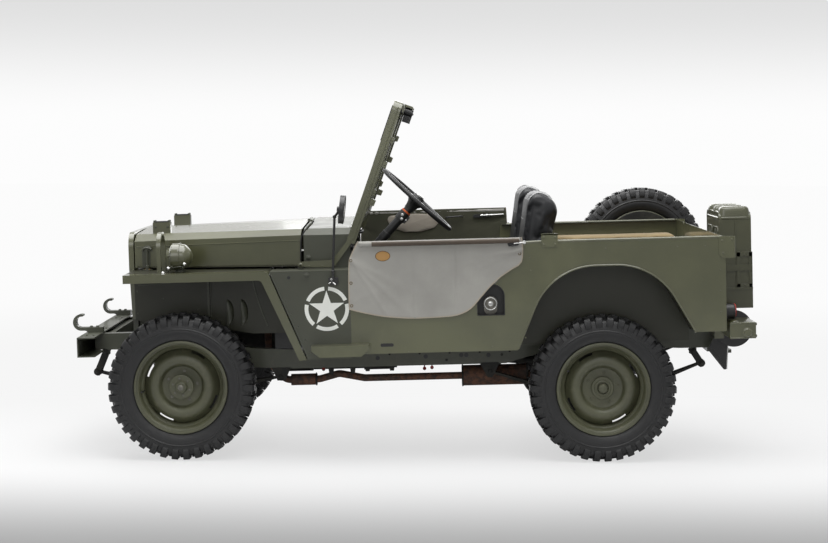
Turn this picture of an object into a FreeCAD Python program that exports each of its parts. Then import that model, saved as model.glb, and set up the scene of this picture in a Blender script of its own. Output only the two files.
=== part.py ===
import FreeCAD, Part
import Sketcher

import math
import os
import re

# Open 4x4 light car. +X forward, +Y the car's left, +Z up, millimetres.
# The origin is on the ground below the middle of the whole car's box.
# "Station" is the distance behind the front axle, "level" the height, both in the
# body's own frame. The sprung pieces then turn by the rake about the front axle.

SIZES = [
    # axles and wheels
    ("front_axle_x", 1105), ("wheelbase", 2032), ("wheel_y", 622), ("wheel_level", 354),
    ("rake", 1.7), ("rake_level", 364),
    ("tyre_radius", 354), ("tyre_half_width", 79), ("tyre_wall", 12), ("bead_radius", 207),
    ("rim_radius", 223), ("rim_half_width", 64), ("rim_sheet", 5), ("rim_well", 183),
    ("disc_ring", 120), ("disc_rise", 40), ("rim_slots", 4), ("slot_length", 70),
    ("slot_depth", 13), ("slot_level", 163), ("hub_radius", 52), ("hub_out", 82),
    ("hub_back", 34), ("bearing_gap", 0.3), ("tyre_lugs", 38), ("lug_width", 33),
    ("lug_depth", 16),
    # frame
    ("rail_out", 371.5), ("rail_flange", 44), ("rail_wall", 5), ("rail_level", 386),
    ("rail_depth", 96), ("horn_level", 506), ("horn_depth", 80), ("nose_station", -470),
    ("tail_station", 2640), ("kick_level", 452), ("tail_level", 440),
    ("cross_length", 60), ("cross_depth", 60), ("pad_radius", 30),
    # front end
    ("bumper_front", -512), ("bumper_depth", 86), ("bumper_half", 600), ("bumper_level", 499.3),
    ("bumper_height", 96), ("bumper_sheet", 6), ("hook_reach", 62), ("hook_top", 688),
    ("hook_half", 20), ("hook_bar", 16), ("grille_front", -276), ("grille_thick", 25),
    ("grille_low", 654), ("grille_slots", 9), ("grille_pitch", 46), ("grille_slot_width", 26),
    ("lamp_y", 322), ("lamp_level", 868), ("lamp_radius", 84), ("lamp_gap", 0.3),
    # body
    ("body_half", 735), ("sheet", 5), ("floor_level", 500), ("rear_floor_level", 566),
    ("rail_top_level", 1016), ("rear_station", 2617), ("dash_station", 830),
    ("wall_station", 604), ("step_station", 1640), ("toe_foot", 860), ("toe_head_level", 760),
    ("hood_front", -245), ("hood_rear", 590), ("hood_front_half", 430), ("hood_rear_half", 568),
    ("hood_low", 915), ("hood_front_shoulder", 1046), ("hood_rear_shoulder", 1066),
    ("hood_front_top", 1094), ("hood_rear_top", 1108), ("hood_sheet", 4), ("cowl_top", 1110),
    ("cowl_half", 588), ("shelf_level", 905), ("side_gap", 6),
    ("fender_front", -252), ("fender_rear", 440), ("fender_foot", 613),
    ("fender_foot_level", 480), ("fender_lip", 40), ("apron_y", 430), ("apron_low", 615),
    ("arch_foot", 1622), ("arch_front", 1790), ("arch_rear", 2282), ("arch_end", 2470),
    ("arch_top", 896), ("arch_radius", 330), ("house_inner", 520), ("bench_front", 1884),
    ("bench_pad", 50),
    ("recess_front", 1432), ("recess_rear", 1565), ("recess_low", 669), ("recess_top", 820),
    ("door_sill", 697), ("door_front", 862), ("door_rear", 1618), ("tail_half", 465),
    ("tail_gap", 5.3), ("hinge_barrel", 7.7), ("gate_barrel", 6.3),
    # windscreen
    ("pivot_station", 591), ("pivot_level", 925), ("screen_half", 640), ("post", 40),
    ("screen_depth", 42), ("screen_angle", 20.5), ("screen_foot", 180), ("screen_bar_low", 276),
    ("screen_top", 898), ("screen_offset", 171), ("arm_thick", 10), ("glass_thick", 6),
    ("pin_radius", 6),
    # doors, seats
    ("door_thick", 11), ("door_gap", 0.3), ("door_hinge", 826), ("door_top", 1040),
    ("right_door_top", 1110), ("door_bar", 26),
    ("seat_y", 375), ("seat_half", 225), ("seat_front", 1230), ("seat_level", 700),
    ("cushion", 120), ("seat_top", 1262),
    # steering
    ("column_y", 345), ("column_angle", 46.5), ("column_radius", 22), ("wheel_station", 1158),
    ("wheel_hub_level", 1214), ("hand_radius", 216), ("hand_grip", 11), ("king_y", 530),
    ("king_radius", 28), ("king_half", 70), ("arm_length", 140), ("arm_level", 400),
    ("link_level", 417.3), ("drag_level", 457.3), ("link_radius", 11), ("crank_y", 180),
    ("crank_arm", 110), ("pitman_station", 475), ("tie_y", 498), ("spindle_radius", 24),
    ("column_foot", 262),
    # axles and springs
    ("tube_radius", 38), ("diff_radius", 112), ("diff_y", -175), ("spring_y", 349.5),
    ("spring_width", 44), ("leaf", 8), ("eye_radius", 20),
    # rear carrier and can
    ("can_low_y", 100), ("can_width", 345), ("can_front", 2640), ("can_depth", 157),
    ("can_level", 646), ("can_height", 470), ("spare_station", 2415), ("spare_level", 846),
    ("spare_out", 83), ("tow_bore", 8), ("seat_gap", 0.3), ("bar_rear", 2765),
    ("bar_length", 125), ("bar_low", 524), ("bar_height", 75), ("bar_inner", 478),
    ("bar_outer", 690), ("socket_level", 640),
    ("radiator_level", 560), ("sump_level", 446), ("block_level", 500), ("mirror_out", 98),
    ("mirror_radius", 67),
    # exhaust
    ("pipe_radius", 18), ("muffler_radius", 52), ("muffler_length", 324),
    ("exhaust_y", 264), ("exhaust_level", 314),
]

doc = FreeCAD.newDocument("field_car")
sheet = doc.addObject("Spreadsheet::Sheet", "Sizes")
for row, (alias, number) in enumerate(SIZES, start=1):
    sheet.set(f"A{row}", alias)
    sheet.set(f"B{row}", str(number))
    sheet.setAlias(f"B{row}", alias)
doc.recompute()

NAMES = {alias for alias, _ in SIZES}
WORD = re.compile(r"[a-z][a-z_]*")
ORIGIN_PLANES = {"XY": "XY_Plane", "XZ": "XZ_Plane", "YZ": "YZ_Plane"}
NODES = []


def formula(text):
    """The text with every size's name turned into its cell."""
    return WORD.sub(lambda m: "Sizes." + m[0] if m[0] in NAMES else m[0], str(text))


def value(text):
    """What a formula comes to now, as a number."""
    result = sheet.evalExpression(formula(text))
    return float(getattr(result, "Value", result))


def bind(item, prop, text):
    item.setExpression(prop, formula(text))


def at(station):
    """X of a station."""
    return f"(front_axle_x - ({station}))"


def world_x(station, level):
    """X, on the ground's frame, of a point of the raked body."""
    turn = "(rake * 1 deg)"
    return f"(front_axle_x - ({station}) * cos{turn} + (({level}) - rake_level) * sin{turn})"


def world_z(station, level):
    """Height above the ground of a point of the raked body."""
    turn = "(rake * 1 deg)"
    return f"(rake_level + ({station}) * sin{turn} + (({level}) - rake_level) * cos{turn})"


def add_rake(item):
    """Turns a sprung piece about the front axle."""
    turn = "(rake * 1 deg)"
    item.Placement = FreeCAD.Placement(
        FreeCAD.Vector(), FreeCAD.Rotation(FreeCAD.Vector(0, 1, 0), value("rake"))
    )
    bind(item, "Placement.Rotation.Angle", "rake")
    bind(item, "Placement.Base.x",
         f"front_axle_x - front_axle_x * cos{turn} - rake_level * sin{turn}")
    bind(item, "Placement.Base.z",
         f"rake_level + front_axle_x * sin{turn} - rake_level * cos{turn}")


def node(item, label, sprung=True):
    """Names a finished sub-part and puts it where it rides."""
    if sprung and item.TypeId in ("Part::Box", "Part::Cylinder"):
        item = group(item)
    item.Label = label
    if sprung:
        add_rake(item)
    NODES.append(item)
    return item


# ---- sketches -------------------------------------------------------------------


def corner(before, here, after, radius):
    """Tangent points, centre and turn of a rounded corner."""
    a = before - here
    b = after - here
    a.normalize()
    b.normalize()
    half = math.acos(max(-1.0, min(1.0, a.dot(b)))) / 2
    run = radius / math.tan(half)
    middle = a + b
    middle.normalize()
    centre = here + middle * (radius / math.sin(half))
    left_turn = a.cross(b).z < 0
    return here + a * run, here + b * run, centre, left_turn


def draw(sketch, points):
    """Closes the points into a fully bound outline. A point is (u, v) or (u, v, radius)."""
    spots = [FreeCAD.Vector(value(p[0]), value(p[1]), 0) for p in points]
    count = len(points)
    starts = list(spots)
    ends = list(spots)
    bends = {}
    for i, point in enumerate(points):
        if len(point) == 3:
            ends[i], starts[i], centre, left_turn = corner(
                spots[i - 1], spots[i], spots[(i + 1) % count], value(point[2])
            )
            bends[i] = (centre, left_turn)
    lines = []
    for i in range(count):
        lines.append(sketch.addGeometry(Part.LineSegment(starts[i], ends[(i + 1) % count])))

    def hold(kind, *spec):
        return sketch.addConstraint(Sketcher.Constraint(kind, *spec))

    def pin(geometry, end, i):
        across = hold("DistanceX", -1, 1, geometry, end, spots[i].x)
        up = hold("DistanceY", -1, 1, geometry, end, spots[i].y)
        bind(sketch, f"Constraints[{across}]", points[i][0])
        bind(sketch, f"Constraints[{up}]", points[i][1])

    for i in range(count):
        before, after = lines[i - 1], lines[i]
        if i not in bends:
            hold("Coincident", before, 2, after, 1)
            pin(after, 1, i)
            continue
        centre, left_turn = bends[i]
        circle = Part.Circle(centre, FreeCAD.Vector(0, 0, 1), value(points[i][2]))
        first, last = (ends[i], starts[i]) if left_turn else (starts[i], ends[i])
        angles = [math.atan2(p.y - centre.y, p.x - centre.x) for p in (first, last)]
        if angles[1] < angles[0]:
            angles[1] += 2 * math.pi
        arc = sketch.addGeometry(Part.ArcOfCircle(circle, *angles))
        mark = sketch.addGeometry(Part.Point(spots[i]), True)
        near, far = (1, 2) if left_turn else (2, 1)
        hold("Tangent", before, 2, arc, near)
        hold("Tangent", after, 1, arc, far)
        hold("PointOnObject", mark, 1, before)
        hold("PointOnObject", mark, 1, after)
        bind(sketch, f"Constraints[{hold('Radius', arc, value(points[i][2]))}]", points[i][2])
        pin(mark, 1, i)


def new_sketch(body, plane, points, offset="0"):
    sketch = body.newObject("Sketcher::SketchObject", "Sketch")
    flat = next(f for f in body.Origin.OriginFeatures if f.Role == ORIGIN_PLANES[plane])
    sketch.AttachmentSupport = [(flat, "")]
    sketch.MapMode = "FlatFace"
    sign = "-1 * " if plane == "XZ" else ""
    bind(sketch, "AttachmentOffset.Base.z", f"{sign}({offset})")
    draw(sketch, points)
    sketch.Visibility = False
    return sketch


def new_body(name):
    return doc.addObject("PartDesign::Body", name)


def slab(body, plane, points, low, high):
    """Material over an outline, from low to high along the plane's axis."""
    start = high if plane == "XZ" else low
    pad = body.newObject("PartDesign::Pad", "Pad")
    pad.Profile = new_sketch(body, plane, points, start)
    bind(pad, "Length", f"({high}) - ({low})")
    body.Tip = pad
    return pad


def slot(body, plane, points, low, high):
    """A cut over an outline, from low to high along the plane's axis."""
    start = low if plane == "XZ" else high
    doc.recompute()
    before = body.Shape.Volume
    cut = body.newObject("PartDesign::Pocket", "Pocket")
    cut.Profile = new_sketch(body, plane, points, start)
    cut.Type = 0
    bind(cut, "Length", f"({high}) - ({low})")
    body.Tip = cut
    doc.recompute()
    if body.Shape.Volume > before - 1:
        raise RuntimeError(f"{body.Name}: a cut removed nothing")
    return cut


def rectangle(left, right, low, high):
    return [(left, low), (right, low), (right, high), (left, high)]


def spin(body, points, axis="V_Axis", plane="YZ", cut=False):
    """A full turn of an outline about one of its sketch's own axes."""
    kind = "PartDesign::Groove" if cut else "PartDesign::Revolution"
    sketch = new_sketch(body, plane, points)
    turned = body.newObject(kind, "Turn")
    turned.Profile = sketch
    turned.ReferenceAxis = (sketch, [axis])
    turned.Angle = 360
    body.Tip = turned
    return turned


def repeat_round(body, feature, sketch, count, axis="N_Axis"):
    pattern = body.newObject("PartDesign::PolarPattern", "Around")
    pattern.Originals = [feature]
    pattern.Axis = (sketch, [axis])
    pattern.Angle = 360
    bind(pattern, "Occurrences", count)
    body.Tip = pattern
    return pattern


def loft(body, plane, first, second, low, high, cut=False):
    """Straight skin between two outlines of as many points each."""
    kind = "PartDesign::SubtractiveLoft" if cut else "PartDesign::AdditiveLoft"
    feature = body.newObject(kind, "Loft")
    feature.Profile = new_sketch(body, plane, first, low)
    feature.Sections = [new_sketch(body, plane, second, high)]
    feature.Ruled = True
    body.Tip = feature
    return feature


# ---- plain solids ---------------------------------------------------------------


def place(item, x, y, z):
    bind(item, "Placement.Base.x", x)
    bind(item, "Placement.Base.y", y)
    bind(item, "Placement.Base.z", z)
    return item


def block(x, y, z):
    """A box between pairs of limits along X, Y and Z."""
    item = doc.addObject("Part::Box", "Block")
    bind(item, "Length", f"({x[1]}) - ({x[0]})")
    bind(item, "Width", f"({y[1]}) - ({y[0]})")
    bind(item, "Height", f"({z[1]}) - ({z[0]})")
    return place(item, x[0], y[0], z[0])


def turned_to(direction):
    return FreeCAD.Rotation(FreeCAD.Vector(0, 0, 1), FreeCAD.Vector(*direction))


def rod(radius, length, start, direction=(0, 1, 0)):
    """A round bar from a start point along a direction."""
    item = doc.addObject("Part::Cylinder", "Rod")
    item.Placement = FreeCAD.Placement(FreeCAD.Vector(), turned_to(direction))
    bind(item, "Radius", radius)
    bind(item, "Height", length)
    return place(item, *start)


def ball(radius, centre):
    item = doc.addObject("Part::Sphere", "Ball")
    bind(item, "Radius", radius)
    return place(item, *centre)


def cone(low_radius, high_radius, length, start, direction=(0, 1, 0)):
    item = doc.addObject("Part::Cone", "Cone")
    item.Placement = FreeCAD.Placement(FreeCAD.Vector(), turned_to(direction))
    bind(item, "Radius1", low_radius)
    bind(item, "Radius2", high_radius)
    bind(item, "Height", length)
    return place(item, *start)


def joined(*items):
    whole = doc.addObject("Part::MultiFuse", "Joined")
    whole.Shapes = list(items)
    whole.Refine = True
    return whole


def group(*items):
    """Separate solids that make one sub-part."""
    whole = doc.addObject("Part::Compound", "Group")
    whole.Links = list(items)
    return whole


def less(base, *tools):
    tool = tools[0] if len(tools) == 1 else joined(*tools)
    cut = doc.addObject("Part::Cut", "Less")
    cut.Base = base
    cut.Tool = tool
    return cut


def mirrored(item, label):
    """The same piece on the car's other side."""
    other = doc.addObject("Part::Mirroring", label)
    other.Source = item
    other.Normal = FreeCAD.Vector(0, 1, 0)
    return other


# ---- frame ----------------------------------------------------------------------

RAIL_LINE = [
    # station, lower edge, upper edge
    ("nose_station", "horn_level", "horn_level + horn_depth"),
    ("nose_station + 200", "horn_level - 4", "horn_level + horn_depth"),
    ("-60", "rail_level + 84", "rail_level + rail_depth + 74"),
    ("330", "rail_level + 10", "rail_level + rail_depth + 10"),
    ("520", "rail_level", "rail_level + rail_depth"),
    ("step_station - 60", "rail_level", "rail_level + rail_depth"),
    ("step_station + 180", "kick_level", "kick_level + rail_depth"),
    ("step_station + 600", "kick_level", "kick_level + rail_depth"),
    ("tail_station - 190", "tail_level", "tail_level + rail_depth"),
    ("tail_station", "tail_level", "tail_level + rail_depth"),
]
CROSS_MEMBERS = [
    # station of the middle, lower edge
    ("nose_station + 40", "horn_level + 8"),
    ("-195", "radiator_level - seat_gap - cross_depth"),
    ("1060", "rail_level + 34"),
    ("step_station - 100", "rail_level + 12"),
    ("tail_station - 34", "tail_level + 12"),
]
PAD_STATIONS = ["700", "1180", "1500"]


def rail_outline(inset):
    lower = [(at(s), f"{low} + {inset}") for s, low, _ in RAIL_LINE]
    upper = [(at(s), f"{high} - {inset}") for s, _, high in reversed(RAIL_LINE)]
    return lower + upper


def make_frame():
    body = new_body("rails")
    slab(body, "XZ", rail_outline("0"), "rail_out - rail_flange", "rail_out")
    slot(body, "XZ", rail_outline("rail_wall"), "rail_out - rail_flange", "rail_out - rail_wall")
    for station, low in CROSS_MEMBERS:
        outline = rectangle(
            at(f"{station} + cross_length / 2"), at(f"{station} - cross_length / 2"),
            low, f"{low} + cross_depth",
        )
        slab(body, "XZ", outline, "-rail_out + rail_wall", "rail_out - rail_wall")
    slab(body, "XZ", rail_outline("0"), "-rail_out", "rail_wall - rail_out")
    for inset in ("0", "rail_wall"):
        edges = rail_outline("0")
        count = len(RAIL_LINE)
        chosen = edges[:count] if inset == "0" else edges[count:]
        sign = "+" if inset == "0" else "-"
        back = [(x, f"{z} {sign} rail_wall") for x, z in reversed(chosen)]
        slab(body, "XZ", chosen + back, "-rail_out", "rail_flange - rail_out")
    for side in (1, -1):
        slab(body, "XY",
             rectangle(at("grille_front + grille_thick"), at("grille_front"),
                       f"{side} * spring_y - spring_width / 2",
                       f"{side} * spring_y + spring_width / 2"),
             "horn_level + horn_depth - rail_wall", "grille_low - seat_gap")
        for station in PAD_STATIONS:
            top = "rail_level + rail_depth"
            middle = f"{side} * (rail_out - rail_flange / 2)"
            slab(
                body, "XY",
                rectangle(at(f"{station} + pad_radius"), at(f"{station} - pad_radius"),
                          f"{middle} - rail_flange / 2", f"{middle} + rail_flange / 2"),
                top, "floor_level",
            )
    brackets, holes = [], []
    for side in (1, -1):
        middle = f"{side} * spring_y"
        for (station, level), low in (("-420", "493"), "horn_level"), (("2516", "423"), "tail_level"):
            brackets.append(block((at(f"{station} + 16"), at(f"{station} - 16")),
                                  (f"{middle} - 20", f"{middle} + 20"),
                                  (f"{level} - 14", f"{low} + 3")))
            holes.append(rod("8.1", "60", (at(station), f"{middle} - 30", level)))
    node(less(joined(body, *brackets), *holes), "frame")


def make_bumper():
    body = new_body("front_bumper")
    back = "bumper_front + bumper_depth"
    ends = ("-bumper_half", "bumper_half")
    slab(body, "XZ", rectangle(at(back), at("bumper_front"), "bumper_level",
                               "bumper_level + bumper_height"), *ends)
    slot(body, "XZ",
         rectangle(at(back), at("bumper_front + bumper_sheet"), "bumper_level + bumper_sheet",
                   "bumper_level + bumper_height - bumper_sheet"),
         "-bumper_half", "bumper_half")
    for side in (1, -1):
        slot(body, "XY",
             rectangle(at(back), at(f"{back} - 26"),
                       f"{side} * spring_y - 34", f"{side} * spring_y + 34"),
             "bumper_level - 1", "bumper_level + bumper_sheet + 1")
    top = "bumper_level + bumper_height"
    for side in (1, -1):
        low, high = (f"{side} * rail_out - hook_half", f"{side} * rail_out + hook_half")
        foot = f"{top} + 10"
        bend = f"((hook_top - ({foot})) / 2)"
        tip = "bumper_front - hook_reach"
        hook = [
            (at(back), top),
            (at("bumper_front + 12"), top),
            (at("bumper_front + 2"), foot, "20"),
            (at(tip), foot, f"{bend} - 0.1"),
            (at(tip), "hook_top", f"{bend} - 0.1"),
            (at(f"{tip} + 52"), "hook_top", "5"),
            (at(f"{tip} + 52"), "hook_top - hook_bar + 4", "5"),
            (at(f"{tip} + hook_bar"), "hook_top - hook_bar + 4", f"{bend} - hook_bar + 1"),
            (at(f"{tip} + hook_bar"), f"{foot} + hook_bar", f"{bend} - hook_bar + 1"),
            (at(back), f"{foot} + hook_bar"),
        ]
        slab(body, "XZ", hook, low, high)
    node(body, "front_bumper")


def make_grille():
    body = new_body("grille_sheet")
    outline = [
        ("-hood_front_half + 46", "grille_low"),
        ("hood_front_half - 46", "grille_low"),
        ("hood_front_half", "hood_low - side_gap"),
        ("hood_front_half", "hood_front_top - 4", "70"),
        ("-hood_front_half", "hood_front_top - 4", "70"),
        ("-hood_front_half", "hood_low - side_gap"),
    ]
    back = at("grille_front + grille_thick")
    front = at("grille_front")
    slab(body, "YZ", outline, back, front)
    first = "-(grille_slots - 1) / 2 * grille_pitch"
    doc.recompute()
    before = body.Shape.Volume
    cut = body.newObject("PartDesign::Pocket", "Pocket")
    cut.Profile = new_sketch(body, "YZ", [
        (f"{first} - grille_slot_width / 2", "grille_low + 34", "12"),
        (f"{first} + grille_slot_width / 2", "grille_low + 34", "12"),
        (f"{first} + grille_slot_width / 2", "hood_front_top - 90", "12"),
        (f"{first} - grille_slot_width / 2", "hood_front_top - 90", "12"),
    ], front)
    cut.Type = 0
    bind(cut, "Length", "grille_thick")
    body.Tip = cut
    doc.recompute()
    row = body.newObject("PartDesign::LinearPattern", "Row")
    row.Originals = [cut]
    row.Direction = (cut.Profile[0], ["H_Axis"])
    bind(row, "Length", "(grille_slots - 1) * grille_pitch")
    bind(row, "Occurrences", "grille_slots")
    body.Tip = row
    doc.recompute()
    if body.Shape.Volume > before - 1000:
        raise RuntimeError("grille: its slots removed nothing")
    lamps = []
    for side in (1, -1):
        lamps.append(rod("lamp_radius + lamp_gap", "3 * grille_thick",
                         (at("grille_front + 2 * grille_thick"), f"{side} * lamp_y",
                          "lamp_level"), (1, 0, 0)))
    node(less(body, *lamps), "grille")
    heads = []
    for side in (1, -1):
        start = (at("grille_front + grille_thick + 44"), f"{side} * lamp_y", "lamp_level")
        can = rod("lamp_radius - 14", "70", start, (1, 0, 0))
        rim = rod("lamp_radius", "22", (at("grille_front + grille_thick"),
                                        f"{side} * lamp_y", "lamp_level"), (1, 0, 0))
        stem = rod("16", "lamp_y - 290", (at("grille_front + grille_thick + 30"),
                                          f"{side} * lamp_y", "lamp_level"), (0, side, 0))
        heads.append(joined(can, rim, stem))
    node(group(*heads), "headlamps")


def make_engine():
    core = block((at("-165"), at("-225")), ("-240", "240"), ("radiator_level", "1040"))
    node(core, "radiator")
    box = block((at("430"), at("-110")), ("-190", "190"), ("block_level", "960"))
    sump = block((at("430"), at("160")), ("-120", "120"), ("sump_level", "block_level"))
    mounts = block((at("250"), at("200")), ("rail_flange - rail_out + seat_gap",
                                            "rail_out - rail_flange - seat_gap"),
                   ("498", "512"))
    bell = block((at("600"), at("430")), ("-150", "150"), ("340", "494"))
    gears = block((at("1030 - seat_gap"), at("600")), ("-110", "110"), ("340", "494"))
    transfer = block((at("1010"), at("850")), ("-270", "-110"), ("300", "490"))
    fan = rod("150", "30", (at("-110"), "0", "760"), (1, 0, 0))
    node(joined(box, sump, mounts, bell, gears, transfer, fan), "engine")


def make_fenders():
    outline = [
        (at("fender_front"), "shelf_level - sheet"),
        (at("fender_front"), "shelf_level"),
        (at("fender_rear"), "shelf_level", "30"),
        (at("fender_foot"), "fender_foot_level"),
        (at("fender_foot - sheet"), "fender_foot_level - sheet"),
        (at("fender_rear - 1.2 * sheet"), "shelf_level - sheet", "26"),
    ]
    lip = [
        (at("fender_front"), "shelf_level - fender_lip"),
        (at("fender_front"), "shelf_level"),
        (at("fender_rear"), "shelf_level", "30"),
        (at("fender_foot"), "fender_foot_level"),
        (at("fender_foot - 34"), "fender_foot_level - sheet"),
        (at("fender_rear - 34"), "shelf_level - fender_lip", "20"),
    ]
    apron = [
        (at("fender_front"), "apron_low + 40"),
        (at("fender_front"), "shelf_level"),
        (at("fender_rear - 4"), "shelf_level"),
        (at("fender_foot - 40"), "apron_low - 40"),
        (at("330"), "apron_low - 40", "80"),
        (at("120"), "apron_low"),
    ]
    body = new_body("fender_left")
    slab(body, "XZ", outline, "apron_y", "body_half")
    slab(body, "XZ", lip, "body_half - sheet", "body_half")
    slab(body, "XZ", apron, "apron_y", "apron_y + sheet")
    node(body, "fender_left")
    other = mirrored(body, "fender_right")
    NODES.append(other)
    other.Label = "fender_right"
    return body


# ---- body -----------------------------------------------------------------------


def shell_section(half, low, shoulder, top, inset="0"):
    """Half-width, foot, shoulder and crown of the hood or cowl, in a YZ sketch."""
    side = f"({half}) - ({inset})"
    return [
        (f"-1 * ({side})", low),
        (side, low),
        (side, f"({shoulder}) - ({inset})"),
        (f"({side}) - 70", f"({top}) - 16 - ({inset})"),
        ("0", f"({top}) - ({inset})"),
        (f"-1 * (({side}) - 70)", f"({top}) - 16 - ({inset})"),
        (f"-1 * ({side})", f"({shoulder}) - ({inset})"),
    ]


def make_hood():
    body = new_body("hood")
    rear, front = at("hood_rear"), at("hood_front")
    loft(body, "YZ",
         shell_section("hood_rear_half", "hood_low", "hood_rear_shoulder", "hood_rear_top"),
         shell_section("hood_front_half", "hood_low", "hood_front_shoulder", "hood_front_top"),
         rear, front)
    loft(body, "YZ",
         shell_section("hood_rear_half", "hood_low - 1", "hood_rear_shoulder",
                       "hood_rear_top", "hood_sheet"),
         shell_section("hood_front_half", "hood_low - 1", "hood_front_shoulder",
                       "hood_front_top", "hood_sheet"),
         rear, front, cut=True)
    for side in (1, -1):
        low, high = sorted((f"{side} * 356", f"{side} * 316"), key=value)
        rest = [
            (at("-76"), "hood_front_top - 24"),
            (at("-76"), "1134"),
            (at("-164"), "1134"),
            (at("-164"), "hood_front_top - 24"),
        ]
        slab(body, "XZ", rest, low, high)
    node(body, "hood")


def make_cowl():
    body = new_body("cowl_sheet")
    front, rear = at("wall_station"), at("dash_station")
    loft(body, "YZ",
         shell_section("cowl_half", "shelf_level", "hood_rear_shoulder", "cowl_top"),
         shell_section("cowl_half", "shelf_level", "hood_rear_shoulder", "cowl_top"),
         rear, front)
    loft(body, "YZ",
         shell_section("cowl_half", "shelf_level - 1", "hood_rear_shoulder", "cowl_top",
                       "sheet"),
         shell_section("cowl_half", "shelf_level - 1", "hood_rear_shoulder", "cowl_top",
                       "sheet"),
         rear, front, cut=True)
    for side in (1, -1):
        low, high = sorted((f"{side} * (cowl_half - sheet)", f"{side} * body_half"), key=value)
        slab(body, "XY", rectangle(rear, at("fender_rear + 8"), low, high),
             "shelf_level - sheet", "shelf_level")
        low, high = sorted((f"{side} * (body_half - sheet)", f"{side} * body_half"), key=value)
        panel = [
            (at("fender_rear + 8"), "shelf_level - sheet"),
            (at("fender_foot + 8"), "fender_foot_level"),
            (at("dash_station"), "fender_foot_level"),
            (at("dash_station"), "shelf_level - sheet"),
        ]
        slab(body, "XZ", panel, low, high)
    wall = [
        ("sheet - body_half", "toe_head_level"),
        ("body_half - sheet", "toe_head_level"),
        ("body_half - sheet", "shelf_level - sheet"),
        ("cowl_half - 1", "shelf_level - sheet"),
        ("cowl_half - 1", "hood_rear_shoulder - 1"),
        ("cowl_half - 71", "cowl_top - 18"),
        ("0", "cowl_top - 2"),
        ("71 - cowl_half", "cowl_top - 18"),
        ("1 - cowl_half", "hood_rear_shoulder - 1"),
        ("1 - cowl_half", "shelf_level - sheet"),
        ("sheet - body_half", "shelf_level - sheet"),
    ]
    slab(body, "YZ", wall, at("wall_station + sheet"), front)
    dash = [
        ("3 - cowl_half", "cowl_top - 190"),
        ("cowl_half - 3", "cowl_top - 190"),
        ("cowl_half - 3", "hood_rear_shoulder - 3"),
        ("cowl_half - 73", "cowl_top - 20"),
        ("0", "cowl_top - 4"),
        ("73 - cowl_half", "cowl_top - 20"),
        ("3 - cowl_half", "hood_rear_shoulder - 3"),
    ]
    slab(body, "YZ", dash, at("dash_station - 24"), at("dash_station - 24 - sheet"))
    barrel = rod("hinge_barrel", "180", (at("hood_rear + 7"), "-90", "hood_rear_top + 4"))
    leaf = block((at("wall_station + 12"), at("hood_rear + 7")), ("-90", "90"),
                 ("cowl_top - 5", "cowl_top + 4"))
    pieces = [body, barrel, leaf]
    for side in (1, -1):
        low, high = sorted((f"{side} * (screen_half - arm_thick - 14)",
                            f"{side} * (screen_half - arm_thick - seat_gap)"), key=value)
        pieces.append(block((at("pivot_station + 12"), at("pivot_station - 12")), (low, high),
                            ("shelf_level - 1", "pivot_level + 12")))
        pieces.append(rod("pin_radius", "32", (at("pivot_station"), f"{side} * 618",
                                               "pivot_level"), (0, side, 0)))
    node(joined(*pieces), "cowl")


def make_floor():
    body = new_body("floor_sheet")
    inner = "body_half - sheet - 0.3"
    bent = [
        (at("wall_station + 8"), "toe_head_level"),
        (at("wall_station + 8 + 1.4 * sheet"), "toe_head_level"),
        (at("toe_foot + 0.4 * sheet"), "floor_level + sheet"),
        (at("step_station"), "floor_level + sheet"),
        (at("step_station"), "rear_floor_level + sheet"),
        (at("rear_station - 2 * sheet"), "rear_floor_level + sheet"),
        (at("rear_station - 2 * sheet"), "rear_floor_level"),
        (at("step_station + sheet"), "rear_floor_level"),
        (at("step_station + sheet"), "floor_level"),
        (at("toe_foot"), "floor_level"),
    ]
    slab(body, "XZ", bent, f"-1 * ({inner})", inner)
    for side in (1, -1):
        low, high = sorted((f"{side} * (house_inner - 0.3)", f"{side} * ({inner} + 2)"),
                           key=value)
        slot(body, "XY", rectangle(at("rear_station"), at("arch_foot - 8"), low, high),
             "floor_level - 1", "rear_floor_level + 2 * sheet")
    hole = rod("column_radius + 6", "200", column_point(-120), column_direction())
    node(less(body, hole), "floor")


def column_direction():
    angle = math.radians(value("column_angle"))
    return (-math.cos(angle), 0, math.sin(angle))


def column_point(run):
    """A point on the steering column's axis, run millimetres up from the toe board."""
    back = f"(wheel_station - (wheel_hub_level - 705) / tan(column_angle * 1 deg))"
    return (
        f"{at(back)} - {run} * cos(column_angle * 1 deg)",
        "column_y",
        f"705 + {run} * sin(column_angle * 1 deg)",
    )


def arch_outline(grow):
    """The wheel opening, grown all round, as far as the floor's edges."""
    return [
        (at(f"arch_foot - ({grow})"), "floor_level"),
        (at(f"arch_front - ({grow})"), f"arch_top + ({grow})", f"arch_radius + ({grow})"),
        (at(f"arch_rear + ({grow})"), f"arch_top + ({grow})", f"arch_radius + ({grow})"),
        (at(f"arch_end + ({grow})"), "rear_floor_level"),
    ]


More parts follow.
